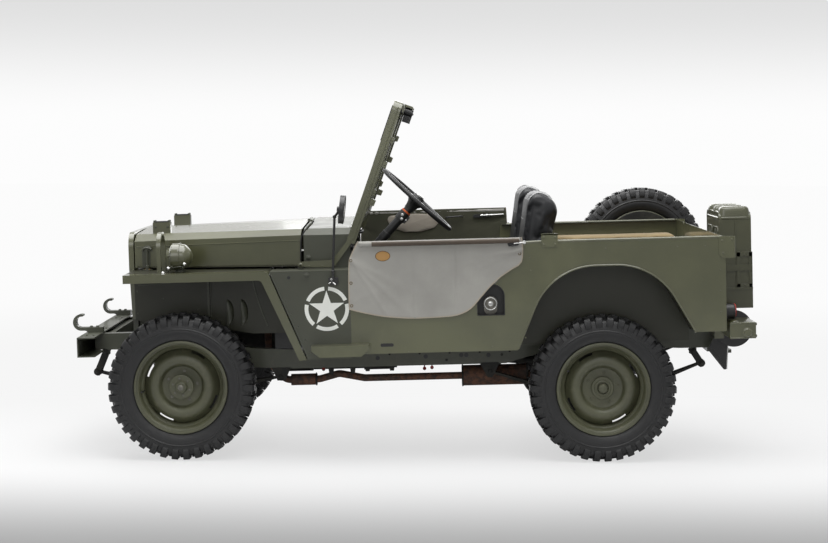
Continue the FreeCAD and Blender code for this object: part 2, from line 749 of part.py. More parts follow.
def make_side(label):
    body = new_body(label)
    outer = [
        (at("dash_station + 0.3"), "fender_foot_level + 20"),
        *arch_outline("0"),
        (at("rear_station - sheet"), "rear_floor_level"),
        (at("rear_station - sheet"), "rail_top_level"),
        (at("door_rear"), "rail_top_level", "14"),
        (at("door_rear - 8"), "rail_top_level - 96", "60"),
        (at("door_rear - 214"), "door_sill", "120"),
        (at("door_front"), "door_sill", "70"),
        (at("door_front - 8"), "shelf_level"),
        (at("dash_station + 0.3"), "shelf_level"),
    ]
    slab(body, "XZ", outer, "body_half - sheet", "body_half")
    hoop = arch_outline("sheet") + list(reversed(arch_outline("0")))
    slab(body, "XZ", hoop, "house_inner", "body_half")
    inner = [
        (at("arch_foot - sheet"), "floor_level"),
        (at("arch_front - sheet"), "arch_top + sheet", "arch_radius + sheet"),
        (at("rear_station - 2 * sheet"), "arch_top + sheet"),
        (at("rear_station - 2 * sheet"), "rear_floor_level"),
        (at("arch_end"), "rear_floor_level"),
        (at("arch_end"), "floor_level"),
    ]
    slab(body, "XZ", inner, "house_inner", "house_inner + sheet")
    slab(body, "XY",
         rectangle(at("rear_station - 2 * sheet"), at("bench_front"), "house_inner",
                   "body_half - sheet"),
         "arch_top", "arch_top + sheet")
    slab(body, "XY",
         rectangle(at("rear_station - sheet"), at("door_rear + 8"), "body_half - 30", "body_half"),
         "rail_top_level - sheet", "rail_top_level")
    return body


def make_sides():
    body = make_side("side_sheet")
    add_rake(body)
    other = mirrored(body, "side_right")
    NODES.append(other)
    recess = new_body("recess")
    slab(recess, "XZ", [
        (at("recess_front - 0.3"), "recess_low - 0.3"),
        (at("recess_rear + 0.3"), "recess_low - 0.3"),
        (at("recess_rear + 0.3"), "recess_top + 0.3", "60"),
        (at("recess_front - 0.3"), "recess_top + 0.3", "60"),
    ], "body_half - 2 * sheet", "body_half + sheet")
    add_rake(recess)
    node(less(body, recess), "side_left", sprung=False)

    steps = []
    for side in (1, -1):
        step = new_body("step")
        out = f"{side} * (body_half + 66)"
        low, high = sorted((f"{side} * (body_half + seat_gap)", out), key=value)
        slab(step, "XZ", rectangle(at("915"), at("642"), "551 - 4", "551"), low, high)
        low, high = sorted((f"{side} * (body_half + 62)", out), key=value)
        slab(step, "XZ", [
            (at("915"), "551"), (at("642"), "551"), (at("642"), "528"),
            (at("680"), "497"), (at("877"), "497"), (at("915"), "528"),
        ], low, high)
        steps.append(step)
    node(group(*steps), "foot_steps")


def make_rear():
    body = new_body("rear_sheet")
    back = at("rear_station")
    front = at("rear_station - sheet")
    low = "rear_floor_level"
    outline = [
        ("-body_half", low),
        ("body_half", low),
        ("body_half", "rail_top_level"),
        ("tail_half + tail_gap", "rail_top_level", "12"),
        ("tail_half + tail_gap", "rear_floor_level + 30"),
        ("-tail_half - tail_gap", "rear_floor_level + 30"),
        ("-tail_half - tail_gap", "rail_top_level", "12"),
        ("-body_half", "rail_top_level"),
    ]
    slab(body, "YZ", outline, back, front)
    barrels = []
    for side in (1, -1):
        barrels.append(rod("gate_barrel", "70", (at("rear_station + 4"), f"{side} * 270 - 35",
                                                 "rear_floor_level + 30")))
    node(joined(body, *barrels), "rear_panel")

    gate = new_body("tailgate")
    outline = [
        ("-tail_half", "rear_floor_level + 30 + tail_gap"),
        ("tail_half", "rear_floor_level + 30 + tail_gap"),
        ("tail_half", "rail_top_level", "12"),
        ("-tail_half", "rail_top_level", "12"),
    ]
    slab(gate, "YZ", outline, back, front)
    node(gate, "tailgate")


def make_can():
    low_y, high_y = "can_low_y", "can_low_y + can_width"
    body = new_body("fuel_can")
    slab(body, "YZ", [
        (low_y, "can_level", "26"),
        (high_y, "can_level", "26"),
        (high_y, "can_level + can_height", "34"),
        (low_y, "can_level + can_height", "34"),
    ], at("can_front + can_depth"), at("can_front"))
    for share in (0.12, 0.5, 0.88):
        middle = f"{low_y} + {share} * can_width"
        slab(body, "YZ", rectangle(f"{middle} - 12", f"{middle} + 12",
                                   "can_level + can_height - 1", "can_level + can_height + 26"),
             at("can_front + can_depth - 34"), at("can_front + 34"))
    node(body, "fuel_can")

    hold = new_body("can_carrier")
    gap = "0.3"
    sheet_out = "4"
    base = [
        (f"{low_y} - {gap} - {sheet_out}", f"can_level - {gap} - {sheet_out}"),
        (f"{high_y} + {gap} + {sheet_out}", f"can_level - {gap} - {sheet_out}"),
        (f"{high_y} + {gap} + {sheet_out}", "can_level + 96"),
        (f"{low_y} - {gap} - {sheet_out}", "can_level + 96"),
    ]
    outer = at(f"can_front + can_depth + {gap} + {sheet_out}")
    slab(hold, "YZ", base, outer, at("rear_station"))
    slot(hold, "YZ",
         rectangle(f"{low_y} - {gap}", f"{high_y} + {gap}", f"can_level - {gap}",
                   "can_level + 97"),
         at(f"can_front + can_depth + {gap}"), at(f"can_front - {gap}"))
    slot(hold, "YZ",
         rectangle(f"{low_y} + 30", f"{high_y} - 30", "can_level + 24", "can_level + 97"),
         at(f"can_front - {gap} - 8"), at("rear_station + 8"))
    node(hold, "can_carrier")


def make_rear_fittings():
    bars = []
    for side in (1, -1):
        low, high = sorted((f"{side} * bar_inner", f"{side} * bar_outer"), key=value)
        front = at("bar_rear - bar_length")
        bar = block((at("bar_rear"), front), (low, high), ("bar_low", "bar_low + bar_height"))
        hollow = block((at("bar_rear + 1"), at("bar_rear - bar_length + 6")),
                       (f"{low} + 6", f"{high} - 6"),
                       ("bar_low + 6", "bar_low + bar_height - 6"))
        outrigger = block((at("tail_station"), at("tail_station - 40")),
                          sorted((f"{side} * (rail_out + seat_gap)",
                                  f"{side} * (bar_inner + 22)"), key=value),
                          ("bar_low - 24", "bar_low + 11"))
        stay = block((at("bar_rear - bar_length + 6"), at("tail_station - 40")),
                     sorted((f"{side} * bar_inner", f"{side} * (bar_inner + 22)"), key=value),
                     ("bar_low - 24", "bar_low + 11"))
        bars.append(joined(less(bar, hollow), outrigger, stay))
    node(group(*bars), "bumperettes")

    plate = block((at("tail_station + 8"), at("tail_station - 4 + seat_gap")), ("-70", "70"),
                  ("376", "530"))
    eye = rod("13", "80", (at("tail_station + 88"), "0", "392"), (1, 0, 0))
    jaw = block((at("2770"), at("2722")), ("-26", "26"), ("360", "424"))
    gap = block((at("2771"), at("2736")), ("-40", "40"), ("378", "406"))
    socket = rod("30", "48", (at("rear_station + 48.3"), "520", "socket_level"), (1, 0, 0))
    bore = rod("tow_bore", "90", (at("2756"), "0", "350"), (0, 0, 1))
    node(less(joined(plate, eye, less(jaw, gap)), bore), "tow_hook")
    lamps = []
    for side in (1, -1):
        start = (at("rear_station + 54"), f"{side} * 620", "648")
        lamps.append(rod("38", "53.7", start, (1, 0, 0)))
    node(group(*lamps, socket), "tail_lamps")


def seat_at(item, label, station, level, angle):
    """Puts a piece built about its own origin at a point of the raked body."""
    item.Label = label
    turn = f"rake + ({angle})"
    item.Placement = FreeCAD.Placement(
        FreeCAD.Vector(), FreeCAD.Rotation(FreeCAD.Vector(0, 1, 0), value(turn))
    )
    bind(item, "Placement.Rotation.Angle", turn)
    bind(item, "Placement.Base.x", world_x(station, level))
    bind(item, "Placement.Base.z", world_z(station, level))
    NODES.append(item)
    return item


def strut(radius, start, end):
    """A round bar between two points; its direction is worked out once."""
    first = FreeCAD.Vector(*[value(v) for v in start])
    last = FreeCAD.Vector(*[value(v) for v in end])
    item = doc.addObject("Part::Cylinder", "Strut")
    item.Placement = FreeCAD.Placement(
        first, FreeCAD.Rotation(FreeCAD.Vector(0, 0, 1), last - first)
    )
    bind(item, "Radius", radius)
    item.Height = (last - first).Length
    return item


# ---- windscreen -----------------------------------------------------------------

SCREEN_TURN = "-1 * screen_angle"


def make_screen():
    front, back = "-1 * screen_offset", "-1 * (screen_offset + screen_depth)"
    inner = "screen_half - post"
    body = new_body("screen_frame")
    slab(body, "YZ", [
        ("-screen_half", "screen_foot"),
        (f"-1 * ({inner})", "screen_foot"),
        (f"-1 * ({inner})", "screen_bar_low"),
        (inner, "screen_bar_low"),
        (inner, "screen_foot"),
        ("screen_half", "screen_foot"),
        ("screen_half", "screen_top", "46"),
        ("-screen_half", "screen_top", "46"),
    ], back, front)
    for side in (1, -1):
        low, high = sorted((f"{side} * post / 2", f"{side} * ({inner})"), key=value)
        slot(body, "YZ", [
            (low, "screen_bar_low + post", "16"),
            (high, "screen_bar_low + post", "16"),
            (high, "screen_top - post", "16"),
            (low, "screen_top - post", "16"),
        ], back, front)
    lip = [
        (back, "screen_top - 30"),
        (back, "screen_top"),
        (f"{back} - 16", "screen_top - 22"),
        (f"{back} - 16", "screen_top - 50"),
    ]
    slab(body, "XZ", lip, "46 - screen_half", "screen_half - 46")
    for side in (1, -1):
        low, high = sorted((f"{side} * (screen_half - arm_thick)", f"{side} * screen_half"),
                           key=value)
        arm = [
            ("13", "-11", "9"),
            ("-154", "43", "40"),
            (back, "screen_foot + 56"),
            (front, "screen_foot"),
            ("-136", "74", "30"),
            ("13", "13", "9"),
        ]
        slab(body, "XZ", arm, low, high)
    holes = [rod("pin_radius + 0.05", "2 * screen_half + 2", ("0", "-screen_half - 1", "0"))]
    for side in (1, -1):
        holes.append(rod("5 + seat_gap", "screen_depth + 40",
                         (f"{back} - 20", f"{side} * 300", "screen_top - 32"), (1, 0, 0)))
    seat_at(less(body, *holes), "windshield", "pivot_station", "pivot_level", SCREEN_TURN)

    glass = new_body("windshield_glass")
    middle = "-1 * (screen_offset + screen_depth / 2)"
    for side in (1, -1):
        low, high = sorted((f"{side} * post / 2", f"{side} * ({inner})"), key=value)
        slab(glass, "YZ", [
            (low, "screen_bar_low + post", "16"),
            (high, "screen_bar_low + post", "16"),
            (high, "screen_top - post", "16"),
            (low, "screen_top - post", "16"),
        ], f"{middle} - glass_thick / 2", f"{middle} + glass_thick / 2")
    seat_at(glass, "windshield_glass", "pivot_station", "pivot_level", SCREEN_TURN)

    arms = []
    for side in (1, -1):
        across = f"{side} * 300"
        motor = rod("21", "34", (f"{back} - 50.3", across, "screen_top - 32"), (1, 0, 0))
        case = block((f"{back} - 50.3", f"{back} - 16.3"),
                     (f"{across} - 24", f"{across} + 24"),
                     ("screen_top - 86", "screen_top - 51"))
        shaft = rod("5", "screen_depth + 28", (f"{back} - 17", across, "screen_top - 32"),
                    (1, 0, 0))
        arm = block((f"{front} + 6", f"{front} + 12"), (f"{across} - 4", f"{across} + 4"),
                    ("screen_top - 210", "screen_top - 24"))
        blade = block((f"{front} + 0.5", f"{front} + 9"), (f"{across} - 5", f"{across} + 5"),
                      ("screen_top - 330", "screen_top - 110"))
        arms.append(joined(motor, case, shaft, arm, blade))
    seat_at(group(*arms), "wipers", "pivot_station", "pivot_level", SCREEN_TURN)


# ---- doors and seats ------------------------------------------------------------


def make_door(label, side, top):
    outline = [
        (at("door_front + 6"), f"{top} + 8", "10"),
        (at("door_hinge + 2"), "shelf_level + 48", "80"),
        (at("door_hinge"), "door_sill + 6", "44"),
        (at("1120"), "door_sill - 34", "500"),
        (at("1375"), "door_sill - 20", "90"),
        (at("1550"), "door_sill + 166", "160"),
        (at("door_rear + 36"), "shelf_level + 2", "36"),
        (at("door_rear + 32"), top, "10"),
    ]
    near = "body_half + door_gap"
    far = "body_half + door_gap + door_thick"
    low, high = sorted((f"{side} * ({near})", f"{side} * ({far})"), key=value)
    body = new_body("canvas")
    slab(body, "XZ", outline, low, high)
    middle = f"{side} * (body_half + door_gap + door_bar / 2)"
    bar = rod("door_bar / 2", "door_rear - door_front - 60",
              (at("door_rear + 22"), middle, f"{top} - door_bar / 2 - 2"), (1, 0, 0))
    node(joined(body, bar), label)


def make_seats():
    for label, side in (("seat_left", 1), ("seat_right", -1)):
        body = new_body(label)
        low = f"{side} * seat_y - seat_half"
        high = f"{side} * seat_y + seat_half"
        back = [
            (at("1646"), "seat_level + cushion + 2"),
            (at("1676"), "1010"),
            (at("1710"), "seat_top - 20", "24"),
            (at("1752"), "seat_top", "30"),
            (at("1848"), "seat_top - 62", "40"),
            (at("1822"), "1090"),
            (at("1752"), "seat_level + cushion - 20", "20"),
        ]
        slab(body, "XZ", back, low, high)
        pad = [
            (at("seat_front"), "seat_level", "12"),
            (at("1700"), "seat_level", "12"),
            (at("1700"), "seat_level + cushion + 3"),
            (at("seat_front + 60"), "seat_level + cushion", "40"),
            (at("seat_front"), "seat_level + cushion - 30", "30"),
        ]
        slab(body, "XZ", pad, low, high)
        node(body, label)
    tank = block((at("1612"), at("seat_front + 20")),
                 ("seat_y - seat_half + 10", "seat_y + seat_half - 20"),
                 ("floor_level + sheet", "seat_level"))
    stand = block((at("1612"), at("seat_front + 20")),
                  ("20 - seat_y - seat_half", "seat_half - seat_y - 20"),
                  ("floor_level + sheet", "seat_level"))
    hollow = block((at("1592"), at("seat_front + 40")),
                   ("-seat_y - seat_half", "seat_half - seat_y"),
                   ("floor_level + sheet - 1", "seat_level - 20"))
    across = block((at("1613"), at("seat_front + 19")),
                   ("40 - seat_y - seat_half", "seat_half - seat_y - 40"),
                   ("floor_level + sheet - 1", "seat_level - 20"))
    node(group(tank, less(stand, hollow, across)), "seat_bases")
    pads = []
    for side in (1, -1):
        low, high = sorted((f"{side} * (house_inner + 4)", f"{side} * (body_half - sheet - 34)"),
                           key=value)
        pads.append(block((at("rear_station - 19"), at("bench_front")), (low, high),
                          ("arch_top + sheet + 0.3", "arch_top + sheet + 0.3 + bench_pad")))
    node(group(*pads), "bench_cushions")


# ---- small fittings on the body -------------------------------------------------


def make_fittings():
    neck = strut("26", (at("1497"), "body_half - 42", "726"), (at("1497"), "body_half - 138.5", "652"))
    bowl = new_body("fuel_bowl")
    slab(bowl, "XZ", [
        (at("recess_front"), "recess_low"), (at("recess_rear"), "recess_low"),
        (at("recess_rear"), "recess_top", "60"), (at("recess_front"), "recess_top", "60"),
    ], "body_half - 44", "body_half - 0.3")
    slot(bowl, "XZ", [
        (at("recess_front + 4"), "recess_low + 4"), (at("recess_rear - 4"), "recess_low + 4"),
        (at("recess_rear - 4"), "recess_top - 4", "56"),
        (at("recess_front + 4"), "recess_top - 4", "56"),
    ], "body_half - 40", "body_half")
    cap = rod("34", "30", (at("1497"), "body_half - 40", "726"), (0, 1, 0))
    node(joined(neck, bowl, cap), "filler")

    foot = block((at("775"), at("730")), ("body_half + 0.3", "body_half + 18"), ("838", "872"))
    stem = strut("6", (at("753"), "body_half + 12", "858"), (at("753"), "body_half + 30", "905"))
    arm = strut("6", (at("753"), "body_half + 30", "900"), (at("768"), "body_half + 30", "1164"))
    reach = strut("6", (at("768"), "body_half + 30", "1160"),
                  (at("798"), "body_half + mirror_out", "1197"))
    turn = ball("9", (at("753"), "body_half + 30", "902"))
    knee = ball("9", (at("768"), "body_half + 30", "1161"))
    disc = rod("mirror_radius", "22", (at("818"), "body_half + mirror_out", "1197"), (1, 0, 0.12))
    node(joined(foot, stem, arm, reach, turn, knee, disc), "mirror")

    shell = new_body("lamp_shell")
    spin(shell, [
        ("0", "-64"), ("30", "-56", "30"), ("56", "-30", "30"), ("64", "2"), ("64", "33"),
        ("56", "33"), ("56", "40"), ("0", "40"),
    ], plane="XZ")
    shell.Placement = FreeCAD.Placement(
        FreeCAD.Vector(), FreeCAD.Rotation(FreeCAD.Vector(0, 1, 0), 90)
    )
    place(shell, at("4"), "600", "980")
    base = rod("16", "980 - shelf_level - 40", (at("4"), "600", "shelf_level"), (0, 0, 1))
    lamp = joined(shell, base)
    hoop_outer = [
        ("520", "shelf_level"), ("534", "shelf_level"), ("534", "1086", "60"),
        ("666", "1086", "60"), ("666", "shelf_level"), ("680", "shelf_level"),
        ("680", "1100", "72"), ("520", "1100", "72"),
    ]
    hoop = new_body("hoop")
    slab(hoop, "YZ", hoop_outer, at("-76"), at("-96"))
    node(group(lamp, hoop), "blackout_lamp")


# ---- steering -------------------------------------------------------------------


def make_steering():
    run = (value("wheel_hub_level") - 705) / math.sin(math.radians(value("column_angle"))) - 44
    tube = rod("column_radius", f"{run} + column_foot", column_point("-1 * column_foot"),
               column_direction())
    box = block((at("520"), at("430")), ("column_y - 27", "rail_out"),
                ("rail_level + rail_depth + 5.3", "rail_level + rail_depth + 128"))
    node(joined(tube, box), "steering_column")

    rim = doc.addObject("Part::Torus", "Rim")
    bind(rim, "Radius1", "hand_radius")
    bind(rim, "Radius2", "hand_grip")
    spokes = []
    for angle in (90, 210, 330):
        way = (math.cos(math.radians(angle)), math.sin(math.radians(angle)), 0)
        spokes.append(rod("5", "hand_radius", ("0", "0", "0"), way))
    hub = rod("26", "62", ("0", "0", "-43"), (0, 0, 1))
    wheel = joined(rim, hub, *spokes)
    bind(wheel, "Placement.Base.y", "column_y")
    seat_at(wheel, "steering_wheel", "wheel_station", "wheel_hub_level", "column_angle - 90")

    shaft_level = "drag_level + crank_arm - 14"
    plate = block((at("pitman_station + 13"), at("pitman_station - 13")),
                  ("crank_y + crank_arm + 15", "column_y - 27 - 0.3"),
                  ("drag_level - 28", f"{shaft_level} + 16"))
    node(plate, "pitman_arm")


def make_links():
    axle = "front_axle_x"
    link = rod("link_radius", "pitman_station", (f"{axle} - pitman_station",
                                                "crank_y + crank_arm", "drag_level"), (1, 0, 0))
    node(link, "drag_link", sprung=False)
    pin = rod("12", "drag_level - 8 - wheel_level", (axle, "crank_y", "wheel_level"), (0, 0, 1))
    hole = rod("12 + 0.05", "80", (axle, "crank_y", "arm_level - 15"), (0, 0, 1))
    boss = rod("24", "drag_level - link_radius - 0.3 - arm_level + 6",
               (axle, "crank_y", "arm_level - 6"), (0, 0, 1))
    rear = block((f"{axle} - arm_length", axle), ("crank_y - 12", "crank_y + 12"),
                 ("arm_level - 6", "arm_level + 6"))
    left = block((f"{axle} - 12", f"{axle} + 12"), ("crank_y", "crank_y + crank_arm + 12"),
                 ("drag_level - link_radius - 12.3", "drag_level - link_radius - 0.3"))
    node(less(joined(boss, rear, left), hole), "bellcrank", sprung=False)
    rod_x = f"{axle} - arm_length"
    tie = rod("link_radius", "2 * tie_y + 30", (rod_x, "-tie_y - 15", "link_level"), (0, 1, 0))
    node(tie, "tie_rod", sprung=False)
    for label, side in (("knuckle_left", 1), ("knuckle_right", -1)):
        king = rod("king_radius", "2 * king_half - 0.6",
                   (axle, f"{side} * king_y", "wheel_level - king_half + 0.3"), (0, 0, 1))
        spindle = rod("spindle_radius", "wheel_y + 37 - king_y",
                      (axle, f"{side} * king_y", "wheel_level"), (0, side, 0))
        plate = rod("118", "6", (axle, f"{side} * (wheel_y - 56)", "wheel_level"), (0, side, 0))
        low, high = sorted((f"{side} * (king_y - 10)", f"{side} * (king_y + 16)"), key=value)
        arm = block((f"{axle} - arm_length - 16", f"{axle} - 10"), (low, high),
                    ("arm_level - 6", "arm_level + 6"))
        low, high = sorted((f"{side} * (tie_y - 14)", f"{side} * king_y"), key=value)
        foot = block((f"{axle} - arm_length - 16", f"{axle} - arm_length + 16"), (low, high),
                     ("arm_level - 6", "arm_level + 6"))
        node(joined(king, spindle, plate, arm, foot), label, sprung=False)
    return pin


# ---- axles and springs ----------------------------------------------------------


def make_axles(pin):
    axle = "front_axle_x"
    tube = rod("tube_radius", "2 * (king_y - 50)", (axle, "50 - king_y", "wheel_level"))
    bulb = ball("diff_radius", (axle, "diff_y", "wheel_level"))
    pieces = [tube, bulb, pin]
    for side in (1, -1):
        low, high = sorted((f"{side} * (king_y - 52)", f"{side} * (king_y - 36)"), key=value)
        pieces.append(block((f"{axle} - 36", f"{axle} + 36"), (low, high),
                            ("wheel_level - king_half - 22", "wheel_level + king_half + 22")))
        low, high = sorted((f"{side} * (king_y - 52)", f"{side} * (king_y + 22)"), key=value)
        for z in ("wheel_level - king_half - 22", "wheel_level + king_half"):
            pieces.append(block((f"{axle} - 30", f"{axle} + 30"), (low, high),
                                (z, f"{z} + 22")))
        spring = f"{side} * spring_y"
        pieces.append(block((f"{axle} - 36", f"{axle} + 36"),
                            (f"{spring} - spring_width / 2", f"{spring} + spring_width / 2"),
                            ("wheel_level - tube_radius - 3.2", "wheel_level")))
    node(joined(*pieces), "axle_front", sprung=False)

    axle = "front_axle_x - wheelbase"
    tube = rod("tube_radius", "2 * (wheel_y - 60)", (axle, "60 - wheel_y", "wheel_level"))
    bulb = ball("diff_radius", (axle, "diff_y", "wheel_level"))
    stub = rod("spindle_radius", "2 * (wheel_y + 37)", (axle, "-wheel_y - 37", "wheel_level"))
    pieces = [tube, bulb, stub]
    for side in (1, -1):
        pieces.append(rod("118", "6", (axle, f"{side} * (wheel_y - 56)", "wheel_level"),
                          (0, side, 0)))
        spring = f"{side} * spring_y"
        pieces.append(block((f"{axle} - 36", f"{axle} + 36"),
                            (f"{spring} - spring_width / 2", f"{spring} + spring_width / 2"),
                            ("wheel_level - tube_radius - 4", "wheel_level")))
    node(joined(*pieces), "axle_rear", sprung=False)


def link_plate(first, second, half):
    """A straight link's outline between two (station, level) centres, with square ends."""
    a = [value(v) for v in first]
    b = [value(v) for v in second]
    run = math.hypot(b[0] - a[0], b[1] - a[1])
    ux, uz = (b[0] - a[0]) / run, (b[1] - a[1]) / run
    corners = []
    for (s, z), sign in ((first, -1), (second, 1)):
        for across in ((1, -1) if sign < 0 else (-1, 1)):
            corners.append((at(f"{s} + {sign * half * ux - across * half * uz:.3f}"),
                            f"{z} + {sign * half * uz + across * half * ux:.3f}"))
    return corners


SPRINGS = {
    # label: forward eye, rear eye, dip of the leaf's corner, its station, hung by a shackle at
    "springs_front": (("-463", "395"), ("456", "346"), "292", "0", 0, ("-420", "493")),
    "springs_rear": (("1500", "347"), ("2554", "362"), "188", "2032", 1, ("2516", "423")),
}


def make_springs(label):
    fore, aft, dip, middle, hung, anchor = SPRINGS[label]
    solids = []
    for side in (1, -1):
        low = f"{side} * spring_y - spring_width / 2"
        high = f"{side} * spring_y + spring_width / 2"
        body = new_body("leaves")
        slab(body, "XZ", [
            (at(fore[0]), f"{fore[1]} - leaf / 2"),
            (at(fore[0]), f"{fore[1]} + leaf / 2"),
            (at(middle), dip, "1200"),
            (at(aft[0]), f"{aft[1]} + leaf / 2"),
            (at(aft[0]), f"{aft[1]} - leaf / 2"),
            (at(middle), f"{dip} - 5 * leaf", "1100"),
        ], low, high)
        width = "spring_width"
        eyes = [rod("eye_radius", width, (at(s), low, z)) for s, z in (fore, aft)]
        solids.append(joined(body, *eyes))
        ends = (fore, aft)
        hanger_eye = ends[1 - hung]
        shackle_eye = ends[hung]
        for plate_low in (f"{low} - 4 - seat_gap", f"{high} + seat_gap"):
            piece = new_body("shackle")
            slab(piece, "XZ", link_plate(shackle_eye, anchor, 15), plate_low,
                 f"{plate_low} + 4")
            pins = piece
            hanger = new_body("hanger")
            top = "rail_level + 6"
            slab(hanger, "XZ", [
                (at(f"{hanger_eye[0]} + 20"), f"{hanger_eye[1]} - 18"),
                (at(f"{hanger_eye[0]} - 20"), f"{hanger_eye[1]} - 18"),
                (at(f"{hanger_eye[0]} - 46"), top),
                (at(f"{hanger_eye[0]} + 46"), top),
            ], plate_low, f"{plate_low} + 4")
            solids += [pins, hanger]
        for s, z in (shackle_eye, anchor, hanger_eye):
            solids.append(rod("8", f"{width} + 14", (at(s), f"{low} - 7", z)))
    node(group(*solids), label)


def make_driveline():
    front = strut("24", (at("848.4"), "diff_y - 15", "392"),
                  (at("119"), "diff_y", "wheel_level"))
    rear = strut("24", (at("1012.8"), "diff_y - 15", "392"),
                 (at("wheelbase - 123"), "diff_y", "302"))
    node(group(front, rear), "drive_shafts")


def tube_along(label, points, radius, bend):
    """A round pipe along straight runs joined by tangent arcs."""
    spots = [FreeCAD.Vector(*[value(v) for v in p]) for p in points]
    edges = []
    start = spots[0]
    for before, here, after in zip(spots, spots[1:], spots[2:]):
        a = (before - here).normalize()
        b = (after - here).normalize()
        half = math.acos(max(-1.0, min(1.0, a.dot(b)))) / 2
        run = bend / math.tan(half)
        first, last = here + a * run, here + b * run
        out = (a + b).normalize()
        middle = here + out * (bend / math.sin(half) - bend)
        edges.append(Part.LineSegment(start, first).toShape())
        edges.append(Part.Arc(first, middle, last).toShape())
        start = last
    edges.append(Part.LineSegment(start, spots[-1]).toShape())
    wire = Part.Wire(edges)
    ring = Part.Wire([Part.Circle(spots[0], spots[1] - spots[0], radius).toShape()])
    return wire.makePipeShell([ring], True, False), wire.Length


def make_exhaust():
    route = [
        (at("380"), "215", "560"), (at("380"), "215", "400"),
        (at("470"), "exhaust_y", "exhaust_level"), (at("640"), "exhaust_y", "exhaust_level"),
        (at("740"), "exhaust_y", "exhaust_level + 26"), (at("868"), "exhaust_y", "exhaust_level"),
        (at("1380"), "exhaust_y", "exhaust_level"),
    ]
    pipe, length = tube_along("exhaust", route, value("pipe_radius"), 60)
    expected = math.pi * value("pipe_radius") ** 2 * length
    if abs(pipe.Volume - expected) > 0.01 * expected:
        raise RuntimeError("exhaust: the pipe's volume is off")
    muffler = Part.makeCylinder(
        value("muffler_radius"), value("muffler_length"),
        FreeCAD.Vector(value(at("1688")), value("exhaust_y"), value("exhaust_level")),
        FreeCAD.Vector(1, 0, 0),
    )
    thick = Part.makeCylinder(
        29, 126, FreeCAD.Vector(value(at("622")), value("exhaust_y"), value("exhaust_level")),
        FreeCAD.Vector(1, 0, 0),
    )
    tail = Part.makeCylinder(
        value("pipe_radius"), 90,
        FreeCAD.Vector(value(at("1770")), value("exhaust_y"), value("exhaust_level")),
        FreeCAD.Vector(1, 0, 0),
    )
    strap = Part.makeBox(
        24, 6, 53.7, FreeCAD.Vector(value(at("1560")), value("exhaust_y") - 3,
                                   value("exhaust_level") + 30)
    )
    item = doc.addObject("Part::Feature", "exhaust")
    item.Shape = pipe.fuse([muffler, thick, tail, strap]).removeSplitter()
    node(item, "exhaust")


# ---- wheels ---------------------------------------------------------------------


def rim_outline():
    sheet_in = "rim_sheet"
    return [
        ("rim_half_width", "rim_radius"),
        (f"rim_half_width - {sheet_in}", "rim_radius"),
        (f"rim_half_width - {sheet_in} - 4", "bead_radius - 3"),
        ("38", "bead_radius - 5"),
        ("26", "rim_well"),
        ("-26", "rim_well"),
        ("-38", "bead_radius - 5"),
        (f"-rim_half_width + {sheet_in} + 4", "bead_radius - 3"),
        (f"-rim_half_width + {sheet_in}", "rim_radius"),
        ("-rim_half_width", "rim_radius"),
        ("-rim_half_width + 4", "bead_radius - 9"),
        ("-41", "bead_radius - 11"),
        ("-28", "rim_well - rim_sheet - 1"),
        ("6", "rim_well - rim_sheet - 1"),
        ("8", "160"),
        ("disc_rise - 6", "disc_ring + 4"),
        ("disc_rise - 2", "118"),
        ("-46", "118"),
        ("-46", "108"),
        ("30", "108"),
        ("30", "hub_radius"),
        ("-hub_back", "hub_radius"),
        ("-hub_back", "spindle_radius + bearing_gap"),
        ("38", "spindle_radius + bearing_gap"),
        ("38", "0"),
        ("hub_out", "0"),
        ("hub_out", "26"),
        ("hub_out - 6", "36"),
        ("disc_rise + rim_sheet", "38"),
        ("disc_rise + rim_sheet", "disc_ring - 8"),
        ("disc_rise + 1", "disc_ring + 8"),
        ("20", "156"),
        ("14", "166"),
        ("14", "rim_well - rim_sheet - 1"),
        ("28", "rim_well - rim_sheet - 1"),
        ("41", "bead_radius - 11"),
        ("rim_half_width - 4", "bead_radius - 9"),
    ]


def make_rim(label):
    body = new_body(label)
    spin(body, rim_outline(), axis="H_Axis")
    doc.recompute()
    before = body.Shape.Volume
    cut = body.newObject("PartDesign::Pocket", "Pocket")
    sketch = new_sketch(body, "XZ", [
        ("-slot_length / 2", "slot_level - 4", "4"),
        ("0", "slot_level"),
        ("slot_length / 2", "slot_level - 4", "4"),
        ("slot_length / 2 - 5", "slot_level + slot_depth - 4", "4"),
        ("0", "slot_level + slot_depth"),
        ("5 - slot_length / 2", "slot_level + slot_depth - 4", "4"),
    ], "0")
    cut.Profile = sketch
    cut.Type = 0
    cut.Length = 40
    body.Tip = cut
    doc.recompute()
    repeat_round(body, cut, sketch, "rim_slots")
    doc.recompute()
    if body.Shape.Volume > before - 1000:
        raise RuntimeError(f"{label}: its slots removed nothing")
    return body


TYRE_HALF = [
    # across, radius: crown, shoulder, side wall, bead, then the inside
    ("tyre_half_width - 19", "tyre_radius - lug_depth"),
    ("tyre_half_width - 2", "tyre_radius - 48"),
    ("tyre_half_width - 7", "tyre_radius - 116"),
    ("rim_half_width - rim_sheet - 0.3", "rim_radius + 1"),
    ("rim_half_width - rim_sheet - 4.4", "bead_radius - 2.6"),
    ("42", "bead_radius - 4.1"),
    ("tyre_half_width - 7 - tyre_wall", "tyre_radius - 108"),
    ("tyre_half_width - 3 - tyre_wall", "tyre_radius - 54"),
    ("tyre_half_width - 17 - tyre_wall", "tyre_radius - lug_depth - tyre_wall"),
]


